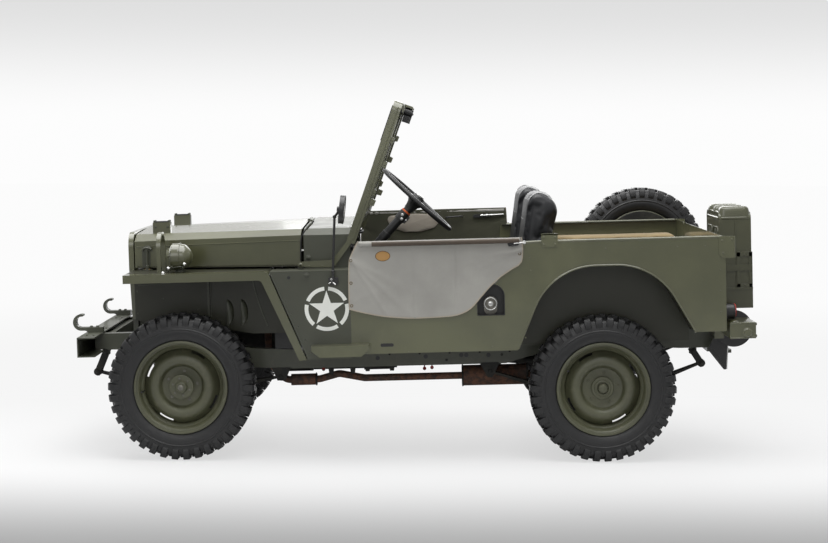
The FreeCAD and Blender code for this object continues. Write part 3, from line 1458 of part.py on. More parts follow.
def make_tyre(label):
    """One hollow casing with its lugs, one of them under the middle."""
    other = [(f"-1 * ({y})", r) for y, r in reversed(TYRE_HALF)]
    body = new_body(label)
    casing = spin(body, other + TYRE_HALF, axis="H_Axis")
    lug = [
        ("tyre_half_width - 13", "tyre_radius"),
        ("tyre_half_width - 0.5", "tyre_radius - 36"),
        ("tyre_half_width - 10", "tyre_radius - 36"),
        ("tyre_half_width - 20", "tyre_radius - lug_depth - 5"),
    ]
    other = [(f"-1 * ({y})", r) for y, r in reversed(lug)]
    pad = slab(body, "YZ", other + lug, "-lug_width / 2", "lug_width / 2")
    repeat_round(body, pad, casing.Profile[0], "tyre_lugs", "H_Axis")
    return body


WHEELS = [
    # suffix, station of the axle, side
    ("fl", "0", 1), ("fr", "0", -1), ("rl", "wheelbase", 1), ("rr", "wheelbase", -1),
]


def set_wheel(master, label, x, y, z, side):
    """A copy of a wheel piece, its outer face away from the car."""
    piece = group(master)
    turn = 0 if side > 0 else 180
    piece.Placement = FreeCAD.Placement(
        FreeCAD.Vector(), FreeCAD.Rotation(FreeCAD.Vector(0, 0, 1), turn)
    )
    place(piece, x, y, z)
    node(piece, label, sprung=False)


def make_wheels():
    for kind, master in (("tyre", make_tyre("one_tyre")), ("rim", make_rim("one_rim"))):
        for suffix, station, side in WHEELS:
            set_wheel(master, f"{kind}_{suffix}", at(station), f"{side} * wheel_y",
                      "wheel_level", side)
        set_wheel(master, f"spare_{kind}", world_x("spare_station", "spare_level"),
                  "-body_half - spare_out", world_z("spare_station", "spare_level"), -1)
    boss = rod("hub_radius - 2", "spare_out - hub_back - 2 * seat_gap",
               (at("spare_station"), "-body_half - 0.3", "spare_level"), (0, -1, 0))
    plate = block((at("spare_station + 110"), at("spare_station - 110")),
                  ("-body_half - 12.3", "-body_half - 0.3"),
                  ("spare_level - 60", "spare_level + 110"))
    node(joined(boss, plate), "spare_carrier")


# ---- whole car ------------------------------------------------------------------


def build():
    make_frame()
    make_bumper()
    make_grille()
    make_engine()
    make_fenders()
    make_hood()
    make_cowl()
    make_floor()
    make_sides()
    make_rear()
    make_can()
    make_rear_fittings()
    make_screen()
    make_door("door_left", 1, "door_top")
    make_door("door_right", -1, "right_door_top")
    make_seats()
    make_fittings()
    make_steering()
    make_axles(make_links())
    make_springs("springs_front")
    make_springs("springs_rear")
    make_driveline()
    make_exhaust()
    make_wheels()
    doc.recompute()


def export():
    faulty = [o.Label for o in doc.Objects if {"Invalid", "Error"} & set(o.State)]
    if faulty:
        raise RuntimeError(f"objects failed: {faulty}")
    for item in NODES:
        shape = item.Shape
        if shape.isNull() or not shape.isValid() or shape.Volume <= 0:
            faulty.append(item.Label)
    if faulty:
        raise RuntimeError(f"no valid solid: {faulty}")
    os.makedirs("parts", exist_ok=True)
    box = FreeCAD.BoundBox()
    for item in NODES:
        item.Shape.exportStep(f"parts/{item.Label}.step")
        box.add(item.Shape.BoundBox)
    print("box", box)
    print("nodes", len(NODES))


build()
export()
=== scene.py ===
"""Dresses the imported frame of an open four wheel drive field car."""

from math import atan2, cos, exp, pi, radians, sin, sqrt, tan

import bmesh
import bpy
from bpy.types import Operator, Panel, PropertyGroup
from mathutils import Matrix, Vector, noise


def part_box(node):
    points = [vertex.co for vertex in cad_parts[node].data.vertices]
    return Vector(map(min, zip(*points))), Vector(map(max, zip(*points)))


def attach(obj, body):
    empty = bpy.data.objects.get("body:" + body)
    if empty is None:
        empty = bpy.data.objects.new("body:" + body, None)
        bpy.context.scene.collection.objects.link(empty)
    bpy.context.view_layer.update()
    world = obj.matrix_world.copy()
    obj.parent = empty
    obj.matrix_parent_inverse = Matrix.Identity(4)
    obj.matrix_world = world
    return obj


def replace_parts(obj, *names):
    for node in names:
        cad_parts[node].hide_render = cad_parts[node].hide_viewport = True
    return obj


bl_info = {
    "name": "Field Car Builder",
    "version": (1, 0, 0),
    "blender": (4, 5, 0),
    "location": "View3D > Sidebar > Field Car",
    "description": "Adds tyres, canvas, seats, fittings and finishes to a field car's frame",
    "category": "Add Mesh",
}

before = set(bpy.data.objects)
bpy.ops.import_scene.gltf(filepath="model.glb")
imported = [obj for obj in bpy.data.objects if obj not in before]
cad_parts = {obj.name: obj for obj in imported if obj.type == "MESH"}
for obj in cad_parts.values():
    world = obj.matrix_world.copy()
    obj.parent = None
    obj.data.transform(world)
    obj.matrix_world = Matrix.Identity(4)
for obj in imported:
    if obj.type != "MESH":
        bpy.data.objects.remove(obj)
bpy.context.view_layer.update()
MM = 0.001
# how far out the tub's outer face is, in millimetres
SKIN = 735
X, Y, Z = (1, 0, 0), (0, 1, 0), (0, 0, 1)
RAKE = radians(1.7)
RAKE_LEVEL = 0.364
RIM_LOW, RIM_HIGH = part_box("rim_fl")
AXLE_X = (RIM_LOW.x + RIM_HIGH.x) / 2
AXLE_Z = (RIM_LOW.z + RIM_HIGH.z) / 2
REAR_AXLE_X = (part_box("rim_rl")[0].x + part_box("rim_rl")[1].x) / 2
FINISHES = {}

# Sprung pieces are drawn by station behind the front axle, distance from the middle
# plane and level, in millimetres, on the body before it is raked.
BODY = Matrix((
    (-MM * cos(RAKE), 0, MM * sin(RAKE), AXLE_X - RAKE_LEVEL * sin(RAKE)),
    (0, MM, 0, 0),
    (MM * sin(RAKE), 0, MM * cos(RAKE), RAKE_LEVEL * (1 - cos(RAKE))),
    (0, 0, 0, 1),
))
GROUND = Matrix(((-MM, 0, 0, AXLE_X), (0, MM, 0, 0), (0, 0, MM, 0), (0, 0, 0, 1)))


def turned_about(station, y, level, degrees):
    """A frame of its own at a point of the body: x ahead, y across, z up, turned about y."""
    return (Matrix.Translation(BODY @ Vector((station, y, level)))
            @ Matrix.Rotation(RAKE + radians(degrees), 4, "Y") @ Matrix.Scale(MM, 4))


SCREEN = turned_about(591, 0, 925, -20.5)
HAND = turned_about(1158, 345, 1214, 46.5 - 90)


def met(node, start, way):
    """Where a line from a point of the body first meets a part of the frame."""
    aim = (BODY.to_3x3() @ Vector(way)).normalized()
    hit, spot, _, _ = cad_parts[node].ray_cast(BODY @ Vector(start), aim)
    if not hit:
        raise RuntimeError(f"{node}: nothing is met from {start}")
    return BODY.inverted() @ spot


def side_of(node, station, level, start=1000):
    """How far out a part's face is, seen from the car's left."""
    return met(node, (station, start, level), (0, -1, 0)).y


def top_of(node, station, y, start=1500):
    """How high a part's face is, seen from above."""
    return met(node, (station, y, start), (0, 0, -1)).z


def tone(red, green, blue):
    """A screen colour, 0 to 255, as linear light."""
    return tuple(v / 12.92 if v <= 0.04045 else ((v + 0.055) / 1.055) ** 2.4
                 for v in (red / 255, green / 255, blue / 255))


# ---- shader arithmetic ----


class Wire:
    """A shader value that takes part in Python sums."""

    def __init__(self, graph, socket):
        self.graph = graph
        self.socket = socket

    def _sum(self, operation, first, second):
        return self.graph.node("Math", {"operation": operation}, {0: first, 1: second})

    def __add__(self, other):
        return self._sum("ADD", self, other)

    __radd__ = __add__

    def __sub__(self, other):
        return self._sum("SUBTRACT", self, other)

    def __rsub__(self, other):
        return self._sum("SUBTRACT", other, self)

    def __mul__(self, other):
        return self._sum("MULTIPLY", self, other)

    __rmul__ = __mul__

    def most(self, other):
        """The larger of two values."""
        return self._sum("MAXIMUM", self, other)

    def rise(self, low, high):
        """0 below low, 1 above high, smooth between."""
        return self.graph.node("MapRange", {"interpolation_type": "SMOOTHSTEP"},
                               {"Value": self, "From Min": low, "From Max": high})


class Graph:
    """A node tree under construction."""

    def __init__(self, tree):
        self.tree = tree

    def node(self, kind, settings=None, sockets=None, out=0):
        """Adds a node: its settings first, then its sockets' values or links."""
        made = self.tree.nodes.new("ShaderNode" + kind)
        for key, value in (settings or {}).items():
            setattr(made, key, value)
        for key, value in (sockets or {}).items():
            self.link(made.inputs[key], value)
        return Wire(self, made.outputs[out])

    def link(self, socket, value):
        if isinstance(value, Wire):
            self.tree.links.new(value.socket, socket)
        elif socket.type == "RGBA" and len(value) == 3:
            socket.default_value = (*value, 1)
        else:
            socket.default_value = value

    def own(self, axis=None):
        """The piece's own coordinates in metres, or one of them."""
        place = self.node("TexCoord", out=3)
        return place if axis is None else self.node("SeparateXYZ", None, {0: place}, out=axis)

    def noise(self, scale, detail=4, rough=0.55):
        return self.node(
            "TexNoise", None,
            {"Vector": self.own(), "Scale": scale, "Detail": detail, "Roughness": rough})

    def cells(self, scale):
        return self.node("TexVoronoi", None, {"Vector": self.own(), "Scale": scale})

    def waves(self, scale, direction):
        return self.node("TexWave", {"bands_direction": direction},
                         {"Vector": self.own(), "Scale": scale, "Distortion": 0.0})

    def mix(self, share, first, second):
        """first where share is 0, second where it is 1, as colours."""
        return self.node("Mix", {"data_type": "RGBA"}, {0: share, 6: first, 7: second}, out=2)

    def upward(self):
        """1 on faces that look up, 0 on walls and undersides."""
        normal = self.node("NewGeometry", out=1)
        return self.node("SeparateXYZ", None, {0: normal}, out=2)

    def outward(self):
        """Metres away from the car's middle plane."""
        return self.node("Math", {"operation": "ABSOLUTE"}, {0: self.own(1)})

    def height(self):
        """Metres above the ground."""
        return self.own(2)


class Coat(Graph):
    """A material under construction, round its principled shader."""

    def __init__(self, name, **plain):
        self.material = bpy.data.materials.new(name)
        self.material.use_nodes = True
        super().__init__(self.material.node_tree)
        self.shader = self.tree.nodes["Principled BSDF"]
        for socket, value in plain.items():
            self.shader.inputs[socket.replace("_", " ")].default_value = value

    def feed(self, socket, value):
        self.link(self.shader.inputs[socket], value)

    def bump(self, height, strength, distance=0.0006):
        self.feed(
            "Normal",
            self.node("Bump", None, {"Height": height, "Strength": strength, "Distance": distance})
        )


def finish(name):
    """A finish by its name, made when first asked for."""
    if name not in FINISHES:
        colours = bpy.context.scene.car_colours
        FINISHES[name] = FINISH_MAKERS[name](colours)
    return FINISHES[name]


def paint(name, colour, rough, dust=0.18, coat=0.0, shade=None):
    """Satin paint with a little fade, settled dust and orange peel, and with painted shade on
    faces nearer the middle plane than shade metres.
    """
    g = Coat(name, Specular_IOR_Level=0.5, Coat_Roughness=0.1, Coat_Weight=coat)
    dark = tuple(c * 0.84 for c in colour)
    light = tuple(min(1, c * 1.16) for c in colour)
    base = g.mix(g.noise(2.2, 6).rise(0.35, 0.68), dark, light)
    low = 1 - g.height().rise(0.25, 0.75)
    specks = g.noise(34, 8, 0.65).rise(0.5, 0.78)
    share = (low * 0.5 + g.upward().rise(0.2, 1.0) * 0.35) * specks * dust
    # painted shade: faces inboard of the shade distance take the colour at about a fifth and lose
    # their coat, as if in shadow
    if shade:
        painted_shade = 1 - g.outward().rise(shade - 0.01, shade)
        base = g.mix(painted_shade, base, tuple(c * 0.22 for c in colour))
        g.feed("Coat Weight", (1 - painted_shade) * coat)
    g.feed("Base Color", g.mix(share, base, tone(138, 130, 108)))
    g.feed("Roughness", g.noise(9, 5).rise(0.2, 0.8) * 0.14 + (rough - 0.07) + share * 0.5)
    g.bump(g.noise(420, 2), 0.10)
    return g.material


def make_tyre_rubber(colours):
    g = Coat("tyre_rubber", Specular_IOR_Level=0.45)
    rubber = tuple(colours.rubber)
    base = g.mix(g.noise(14, 6).rise(0.3, 0.75), tuple(c * 0.75 for c in rubber), rubber)
    scuffs = g.noise(70, 8, 0.7).rise(0.56, 0.8) * 0.25
    g.feed("Base Color", g.mix(scuffs, base, tone(96, 92, 86)))
    g.feed("Roughness", g.noise(22, 5).rise(0.2, 0.8) * 0.2 + 0.36)
    g.bump(g.noise(520, 3) * 0.6 + g.cells(150) * 0.4, 0.22, 0.0008)
    return g.material


def make_canvas(colours, name="door_canvas", *rgb):
    g = Coat(name, Specular_IOR_Level=0.25, Sheen_Weight=0.25, Sheen_Roughness=0.5)
    cloth = tone(*rgb) if rgb else tuple(colours.canvas)
    across = g.waves(310, "X")
    down = g.waves(310, "Z")
    weave = across * 0.5 + down * 0.5
    faded = g.noise(3.2, 5).rise(0.3, 0.72)
    base = g.mix(faded, tuple(c * 0.84 for c in cloth), tuple(min(1, c * 1.08) for c in cloth))
    thread = g.mix(weave * 0.24, base, tuple(c * 0.55 for c in cloth))
    smudge = g.noise(11, 7, 0.6).rise(0.58, 0.8) * 0.22
    g.feed("Base Color", g.mix(smudge, thread, tuple(c * 0.5 for c in cloth)))
    g.feed("Roughness", 0.86 + g.noise(40) * 0.1)
    g.bump(weave + g.noise(160) * 0.5, 0.30)
    return g.material


def make_vinyl(colours):
    g = Coat("seat_vinyl", Specular_IOR_Level=0.5)
    skin = tuple(colours.seat)
    grain = g.cells(620)
    base = g.mix(g.noise(6, 5).rise(0.3, 0.7), tuple(c * 0.8 for c in skin), skin)
    g.feed("Base Color", g.mix(grain * 0.25, base, tuple(c * 0.6 for c in skin)))
    g.feed("Roughness", g.noise(12, 4).rise(0.2, 0.8) * 0.14 + 0.38)
    g.bump(grain, 0.25)
    return g.material


def metal(name, colour, rough, mark, grain=0.12):
    """Bare metal with worn patches."""
    g = Coat(name, Metallic=1.0)
    worn = g.noise(26, 7, 0.65).rise(0.42, 0.72)
    g.feed("Base Color", g.mix(worn * mark, colour, tuple(c * 0.35 for c in colour)))
    g.feed("Roughness", g.noise(48, 5) * 0.16 + (rough - 0.08))
    g.bump(g.noise(240, 4), grain)
    return g.material


def make_rust(colours):
    g = Coat("exhaust_rust", Specular_IOR_Level=0.3)
    flakes = g.noise(36, 9, 0.7)
    base = g.mix(flakes.rise(0.38, 0.62), tone(62, 50, 44), tone(104, 72, 56))
    g.feed("Base Color", g.mix(g.noise(9, 5).rise(0.5, 0.75) * 0.7, base, tone(58, 56, 54)))
    g.feed("Roughness", flakes * 0.25 + 0.62)
    g.bump(flakes, 0.4, 0.001)
    return g.material


def make_underbody(colours):
    g = Coat("underbody_black", Specular_IOR_Level=0.35)
    grime = g.noise(18, 8, 0.65)
    g.feed("Base Color", g.mix(grime.rise(0.4, 0.72), tone(20, 20, 18), tone(46, 45, 39)))
    g.feed("Roughness", grime * 0.3 + 0.5)
    g.bump(g.noise(170, 5), 0.25, 0.001)
    return g.material


def make_clear(colours):
    g = Coat("window_glass", Base_Color=(0.93, 0.97, 0.95, 1), IOR=1.45, Alpha=0.14)
    smear = g.noise(7, 5).rise(0.45, 0.8)
    g.feed("Roughness", smear * 0.05 + 0.02)
    return g.material


def make_lens(colours, name="lamp_lens", colour=(0.9, 0.92, 0.9), alpha=0.3):
    g = Coat(name, IOR=1.5, Alpha=alpha)
    g.feed("Base Color",
           g.mix(g.noise(20).rise(0.3, 0.8) * 0.2, colour, tuple(c * 0.7 for c in colour)))
    g.feed("Roughness", g.noise(30) * 0.08 + 0.04)
    g.bump(g.waves(60, "Y"), 0.5, 0.001)
    return g.material


def make_mark_white(colours):
    g = Coat("star_white", Specular_IOR_Level=0.4)
    chipped = g.noise(60, 8, 0.7).rise(0.62, 0.78)
    g.feed("Base Color", g.mix(chipped * 0.5, tone(232, 233, 226), tone(176, 178, 164)))
    g.feed("Roughness", g.noise(20) * 0.1 + 0.5)
    g.bump(g.noise(420, 2), 0.08)
    return g.material


FINISH_MAKERS = {
    "olive": lambda c: paint("olive_paint", tuple(c.olive), rough=0.36, coat=0.9),
    # fender and side: the olive paint with painted shade on faces inboard of 0.66 m and 0.728 m,
    # the aprons, wheel houses and inner walls of the tub
    "fender": lambda c: paint("fender_paint", tuple(c.olive), rough=0.36, coat=0.9, shade=0.66),
    "side": lambda c: paint("side_paint", tuple(c.olive), rough=0.36, coat=0.9, shade=0.728),
    "can": lambda c: paint("can_paint", tuple(v * 0.62 for v in c.olive), rough=0.4, coat=0.5),
    "dark_olive": lambda c: paint("cowl_paint", tuple(c.dark_olive), rough=0.48, coat=0.3),
    "wheel": lambda c: paint("wheel_paint", tuple(c.wheel), rough=0.46, dust=0.3),
    # inner: the body's olive at half brightness, painted shade for the floor inside the tub
    "inner": lambda c: paint("shaded_inner_paint", tuple(v * 0.5 for v in c.olive), rough=0.55),
    "rubber": make_tyre_rubber,
    "canvas": make_canvas,
    "tan": lambda c: make_canvas(c, "bench_canvas", 150, 132, 98),
    "pocket": lambda c: make_canvas(c, "inner_canvas", 70, 70, 56),
    "pouch": lambda c: make_canvas(c, "door_pouch", 158, 150, 138),
    "hem": lambda c: make_canvas(c, "hem_tape", 176, 166, 150),
    "patch_rim": lambda c: make_canvas(c, "patch_rim", 110, 84, 52),
    "brown_trim": lambda c: paint("rail_trim", tone(74, 62, 50), rough=0.5, dust=0.1),
    "patch": lambda c: make_canvas(c, "tan_patch", 188, 146, 92),
    "vinyl": make_vinyl,
    "steel": lambda c: metal("worn_steel", tone(112, 110, 104), 0.42, 0.4),
    "chrome": lambda c: metal("bright_chrome", tone(186, 186, 184), 0.24, 0.2, 0.03),
    "brass": lambda c: metal("dull_brass", tone(112, 94, 62), 0.5, 0.4),
    "rust": make_rust,
    "underbody": make_underbody,
    # black: black enamel on the black parts, and painted shade where it stands for holes, slots
    # and the filler's recess
    "black": lambda c: paint("black_enamel", tone(30, 30, 30), rough=0.38, dust=0.08),
    "glass": make_clear,
    "lens": make_lens,
    "red_lens": lambda c: make_lens(c, "red_lens", tone(150, 18, 14), 0.92),
    "red_paint": lambda c: paint("red_enamel", tone(176, 52, 44), rough=0.42, dust=0.05),
    "orange": lambda c: paint("orange_band", tone(206, 96, 44), rough=0.45, dust=0.05),
    "reflector": lambda c: metal("lamp_reflector", tone(228, 228, 224), 0.10, 0.05, 0.02),
    "white": make_mark_white,
    "dial": lambda c: paint("dial_face", tone(196, 190, 160), rough=0.4, dust=0.02),
}


# ---- mesh making ----


def placed(name, data):
    made = bpy.data.objects.new(name, data)
    bpy.context.scene.collection.objects.link(made)
    return made


def thicken(piece, thick, middle=False):
    """Gives a sheet its thickness, in millimetres, inwards or to both sides."""
    sheet = piece.modifiers.new("Sheet", "SOLIDIFY")
    sheet.thickness = thick * MM
    if middle:
        sheet.offset = 0


def turns(count, start=0.0):
    """Angles spread evenly round a circle."""
    return [2 * pi * k / count + start for k in range(count)]


def rect(left, right, low, high):
    """The corners of an upright rectangle."""
    return [(left, low), (right, low), (right, high), (left, high)]


def closed(points):
    """An outline that comes back to its first point."""
    return [*points, points[0]]


def rounded(points, radius, steps=5):
    """A closed outline with its corners rounded; a point may carry its own radius."""
    made = []
    count = len(points)
    for i, here in enumerate(points):
        r = here[2] if len(here) > 2 else radius
        spot = Vector(here[:2])
        before = Vector(points[i - 1][:2]) - spot
        after = Vector(points[(i + 1) % count][:2]) - spot
        if r <= 0 or before.length < 1e-6 or after.length < 1e-6:
            made.append(spot)
            continue
        half = before.angle(after) / 2
        if half < 0.02 or half > 1.55:
            made.append(spot)
            continue
        run = min(r / tan(half), before.length * 0.49, after.length * 0.49)
        r = run * tan(half)
        middle = (before.normalized() + after.normalized()).normalized()
        centre = spot + middle * (r / sin(half))
        start = spot + before.normalized() * run - centre
        end = spot + after.normalized() * run - centre
        turn = atan2(start.x * end.y - start.y * end.x, start.dot(end))
        for k in range(steps + 1):
            a = turn * k / steps
            made.append(centre + Vector((start.x * cos(a) - start.y * sin(a),
                                         start.x * sin(a) + start.y * cos(a))))
    return [tuple(p) for p in made]


def smooth_line(points, steps=6):
    """Points along a Catmull-Rom line through the given ones."""
    spots = [Vector(p) for p in points]
    ends = [spots[0] * 2 - spots[1], *spots, spots[-1] * 2 - spots[-2]]
    made = []
    for a, b, c, d in zip(ends, ends[1:], ends[2:], ends[3:]):
        for k in range(steps):
            t = k / steps
            made.append(0.5 * (2 * b + (c - a) * t + (2 * a - 5 * b + 4 * c - d) * t * t
                               + (3 * b - a - 3 * c + d) * t ** 3))
    made.append(spots[-1])
    return made


def circle(middle, side, up, radius, angles):
    return [middle + (side * cos(a) + up * sin(a)) * radius for a in angles]


class Shape:
    """A mesh put together from formed parts, in millimetres on the body or ground."""

    def __init__(self, place=BODY):
        self.mesh = bmesh.new()
        self.place = place

    def add(self, spots, faces):
        made = [self.mesh.verts.new(Vector(p)) for p in spots]
        for face in faces:
            corners = [made[i] for i in face]
            if len(set(corners)) > 2:
                self.mesh.faces.new(corners)
        return made

    def loops(self, rows, closed=True, caps=True, hoop=False, left_out=None):
        """Skin over rows of equally many points; a hoop's last row joins its first."""
        count = len(rows[0])
        spots = [p for row in rows for p in row]
        faces = []
        for r in range(len(rows) if hoop else len(rows) - 1):
            ahead = (r + 1) % len(rows)
            for i in range(count if closed else count - 1):
                if left_out and left_out(r, i):
                    continue
                j = (i + 1) % count
                faces.append((r * count + i, r * count + j, ahead * count + j, ahead * count + i))
        if caps:
            faces.append(tuple(range(count))[::-1])
            faces.append(tuple((len(rows) - 1) * count + i for i in range(count)))
        return self.add(spots, faces)

    def prism(self, outline, low, high, along="y"):
        """A flat outline given thickness along one axis: y, s or z."""
        order = {"y": lambda a, b, t: (a, t, b), "s": lambda a, b, t: (t, a, b), "z": lambda a, b,
                 t: (a, b, t)}[along]
        self.loops([[order(p[0], p[1], t) for p in outline] for t in (low, high)])
        return self

    def plate(self, outline, low, high, radius=6, along="y"):
        return self.prism(rounded(outline, radius), low, high, along)

    def block(self, s, y, z):
        return self.prism(rect(*s, *z), *y)

    def turned(self, start, direction, profile, sides=32, turn=0.0):
        """A profile of (run, radius) turned about a line."""
        axis = Vector(direction).normalized()
        side = axis.orthogonal().normalized()
        up = axis.cross(side)
        base = Vector(start)
        rows = []
        for run, radius in profile:
            rows.append(circle(base + axis * run, side, up, max(radius, 0.01), turns(sides, turn)))
        self.loops(rows)
        return self

    def rod(self, a, b, radius, sides=16, end=None):
        way = Vector(b) - Vector(a)
        last = radius if end is None else end
        soft = min(radius, last, way.length / 2) * 0.12
        return self.turned(a, way,
                           [(0, radius - soft), (soft, radius), (way.length - soft, last),
                            (way.length, last - soft)],
                           sides)

    def tube(self, points, radius, sides=10, steps=6):
        """A round bar along a line of points."""
        line = smooth_line(points, steps)
        way = (line[1] - line[0]).normalized()
        side = way.orthogonal().normalized()
        rows = []
        for i, here in enumerate(line):
            ahead = line[min(i + 1, len(line) - 1)] - line[max(i - 1, 0)]
            ahead.normalize()
            side = (side - ahead * side.dot(ahead)).normalized()
            up = ahead.cross(side)
            rows.append(circle(here, side, up, radius, turns(sides)))
        self.loops(rows)
        return self

    def strip(self, points, width, thick, across=Y, steps=6):
        """A flat strap along a line of points."""
        line = smooth_line(points, steps)
        wide = Vector(across).normalized()
        rows = []
        for i, here in enumerate(line):
            ahead = (line[min(i + 1, len(line) - 1)] - line[max(i - 1, 0)]).normalized()
            side = (wide - ahead * wide.dot(ahead)).normalized()
            up = ahead.cross(side) * (thick / 2)
            reach = side * (width / 2)
            rows.append(
                [here - reach - up, here + reach - up, here + reach + up, here - reach + up])
        self.loops(rows)
        return self

    def ring(self, centre, axis, radius, thick, sides=48, around=10):
        """A round hoop."""
        line = Vector(axis).normalized()
        side = line.orthogonal().normalized()
        up = line.cross(side)
        middle = Vector(centre)
        rows = []
        for k in range(sides):
            a = 2 * pi * k / sides
            out = side * cos(a) + up * sin(a)
            rows.append([middle + out * (radius + thick * cos(b)) + line * (thick * sin(b))
                         for b in turns(around)])
        self.loops(rows, caps=False, hoop=True)
        return self

    def bolt(self, at, direction, size=8, washer=True):
        """A hexagon head on a washer, standing on a face."""
        if washer:
            self.turned(
                at, direction,
                [(-0.4, size * 0.98), (size * 0.16, size * 0.98), (size * 0.18, size * 0.8)], 14)
        self.turned(at, direction,
                    [(0, size * 0.72), (size * 0.55, size * 0.72), (size * 0.66, size * 0.56)], 6)
        return self

    def rivet(self, at, direction, size=6):
        return self.turned(
            at, direction,
            [(-0.4, size), (size * 0.28, size * 0.86), (size * 0.46, size * 0.5), (size * 0.5, 0)],
            10)

    def ball(self, centre, radius, rings=8):
        profile = [(radius - radius * cos(pi * k / rings), radius * sin(pi * k / rings))
                   for k in range(rings + 1)]
        start = Vector(centre) - Vector((0, 0, radius))
        return self.turned(start, Z, profile, rings * 2)

    def both(self):
        """Adds the same again on the car's other side."""
        made = bmesh.ops.duplicate(
            self.mesh, geom=self.mesh.verts[:] + self.mesh.edges[:] + self.mesh.faces[:])
        verts = [e for e in made["geom"] if isinstance(e, bmesh.types.BMVert)]
        for v in verts:
            v.co.y = -v.co.y
        return self

    def piece(self, name, coat, soft=0, body="chassis", slot=None, angle=32):
        """Ends the mesh as an object that rides on a body, its edges softened in mm."""
        bmesh.ops.transform(self.mesh, matrix=self.place, verts=self.mesh.verts)
        bmesh.ops.recalc_face_normals(self.mesh, faces=self.mesh.faces)
        mesh = bpy.data.meshes.new(name)
        self.mesh.to_mesh(mesh)
        self.mesh.free()
        made = placed(name, mesh)
        mesh.materials.append(finish(coat))
        mesh.shade_smooth()
        mesh.set_sharp_from_angle(angle=radians(angle))
        if soft:
            soften(made, soft)
        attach(made, body)
        return made


def soften(piece, width, segments=2, angle=35):
    """Small rounds on a piece's sharp edges, in millimetres."""
    edge = piece.modifiers.new("Edges", "BEVEL")
    edge.width = width * MM
    edge.segments = segments
    edge.limit_method = "ANGLE"
    edge.angle_limit = radians(angle)
    edge.harden_normals = True
    edge.use_clamp_overlap = True


# ---- wheels ----

LOCAL = Matrix.Scale(MM, 4)
CASING = [
    # distance from the middle of the tread, radius
    (52, 208), (56, 219), (62, 225), (69, 231), (75, 245), (78, 260), (78.6, 273),
    (77.6, 277), (80, 279.5), (80, 284), (77, 287), (76, 296), (73, 308), (69, 320),
    (62, 331), (50, 337), (26, 339.5), (0, 340),
]
LUG = [
    # top: distance and radius, root: distance and radius, half width
    ((3, 354), (3, 334), 15.5), ((30, 354), (30, 334), 16), ((52, 353.4), (50, 332), 17),
    ((65, 350), (60, 326), 17.6), ((73.5, 341), (66, 318), 18), ((77.6, 329), (69, 308), 18),
    ((79.4, 314), (72, 300), 17.4), ((79, 303), (74, 296), 16.4),
]
RIM_LINE = [
    # radius, distance out from the middle
    (214, 70), (220, 71), (224, 68.6), (224.6, 63), (221, 60), (212, 58.6), (206, 54),
    (201, 40), (199, 31), (193, 25), (186, 21), (183.5, 12), (183.5, -12), (186, -21),
    (199, -31), (201, -40), (206, -54), (212, -58.6), (221, -60), (224.6, -63), (224, -68.6),
    (220, -71), (214, -70),
]
DISC_LINE = [(183, -16), (182, -4), (178, 4), (166, 14), (160, 24), (152, 35), (142, 42.5),
             (131, 45.6), (121, 45), (112, 40), (106, 31), (102.5, 20), (99, 11), (93, 8),
             (72, 7.4), (58, 7.4), (46, 7.4)]
SLOT_BAND = 2
SLOT_HALF = radians(12)


def wheel_place(node):
    """A wheel's middle, turned so that its outer face looks away from the car."""
    low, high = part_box(node)
    middle = (low + high) / 2
    turn = 0 if middle.y > 0 else pi
    return Matrix.Translation(middle) @ Matrix.Rotation(turn, 4, "Z")


def twin(original, name, place, body):
    """A second object on the same mesh."""
    made = original.copy()
    made.name = name
    bpy.context.scene.collection.objects.link(made)
    made.parent = None
    made.matrix_world = place
    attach(made, body)
    return made


def around(radius, angle, out):
    return (radius * cos(angle), out, radius * sin(angle))


def ring_rows(line, sides):
    return [[around(r, 2 * pi * k / sides, y) for k in range(sides)] for r, y in line]


def tyre_shape(lugs, depth):
    shape = Shape(LOCAL)
    half = [(r, y) for y, r in CASING]
    full = half + [(r, -y) for r, y in reversed(half[:-1])]
    shape.loops(ring_rows(full, 114), caps=False)
    extra = depth / MM - 14
    for side in (1, -1):
        for k in range(lugs):
            middle = 2 * pi * (k + (0 if side > 0 else 0.5)) / lugs
            rows = []
            for (top_y, top_r), (root_y, root_r), half_width in LUG:
                lean = 0.010 * sin(top_y / 79 * pi)
                row = []
                for share, (y, r) in ((-1, (root_y, root_r)), (-0.86, (top_y, top_r + extra)),
                                      (0.86, (top_y, top_r + extra)), (1, (root_y, root_r))):
                    a = middle + share * half_width / 336 + lean * side
                    row.append(around(r, a, side * y))
                rows.append(row)
            shape.loops(rows)
    return shape


def rim_shape():
    shape = Shape(LOCAL)
    sides = 120
    shape.loops(ring_rows(RIM_LINE, sides), caps=False)

    def in_slot(r, k):
        a = 2 * pi * (k + 0.5) / sides
        off = (a + pi / 4) % (pi / 2) - pi / 4
        return r == SLOT_BAND and abs(off) < SLOT_HALF

    shape.loops(ring_rows(DISC_LINE, sides), caps=False, left_out=in_slot)
    return shape


def hub_shape(front):
    shape = Shape(LOCAL)
    if front:
        profile = [(-30, 46), (8, 46), (10, 55), (34, 55), (36, 58), (44, 58.5), (46, 57),
                   (47, 50), (47, 30), (52, 28), (66, 26), (69, 22), (69, 8), (64, 6), (64, 0)]
    else:
        profile = [(-30, 46), (7, 46), (8, 53), (20, 55), (24, 53), (25, 46), (25, 40), (31, 39),
                   (33, 36), (33, 29), (29, 27), (29, 24), (44, 22.5), (49, 20), (52, 14), (53, 0)]
    shape.turned((0, 0, 0), Y, profile, 56)
    return shape


def nut_ring(shape, count, radius, out, size, turn=0.3):
    for k in range(count):
        a = 2 * pi * k / count + turn
        shape.bolt(around(radius, a, out), Y, size)
        if size > 9:
            shape.turned(around(radius, a, out + size * 0.5), Y,
                         [(0, size * 0.5), (size * 0.7, size * 0.46), (size * 0.8, 0)], 10)
    return shape


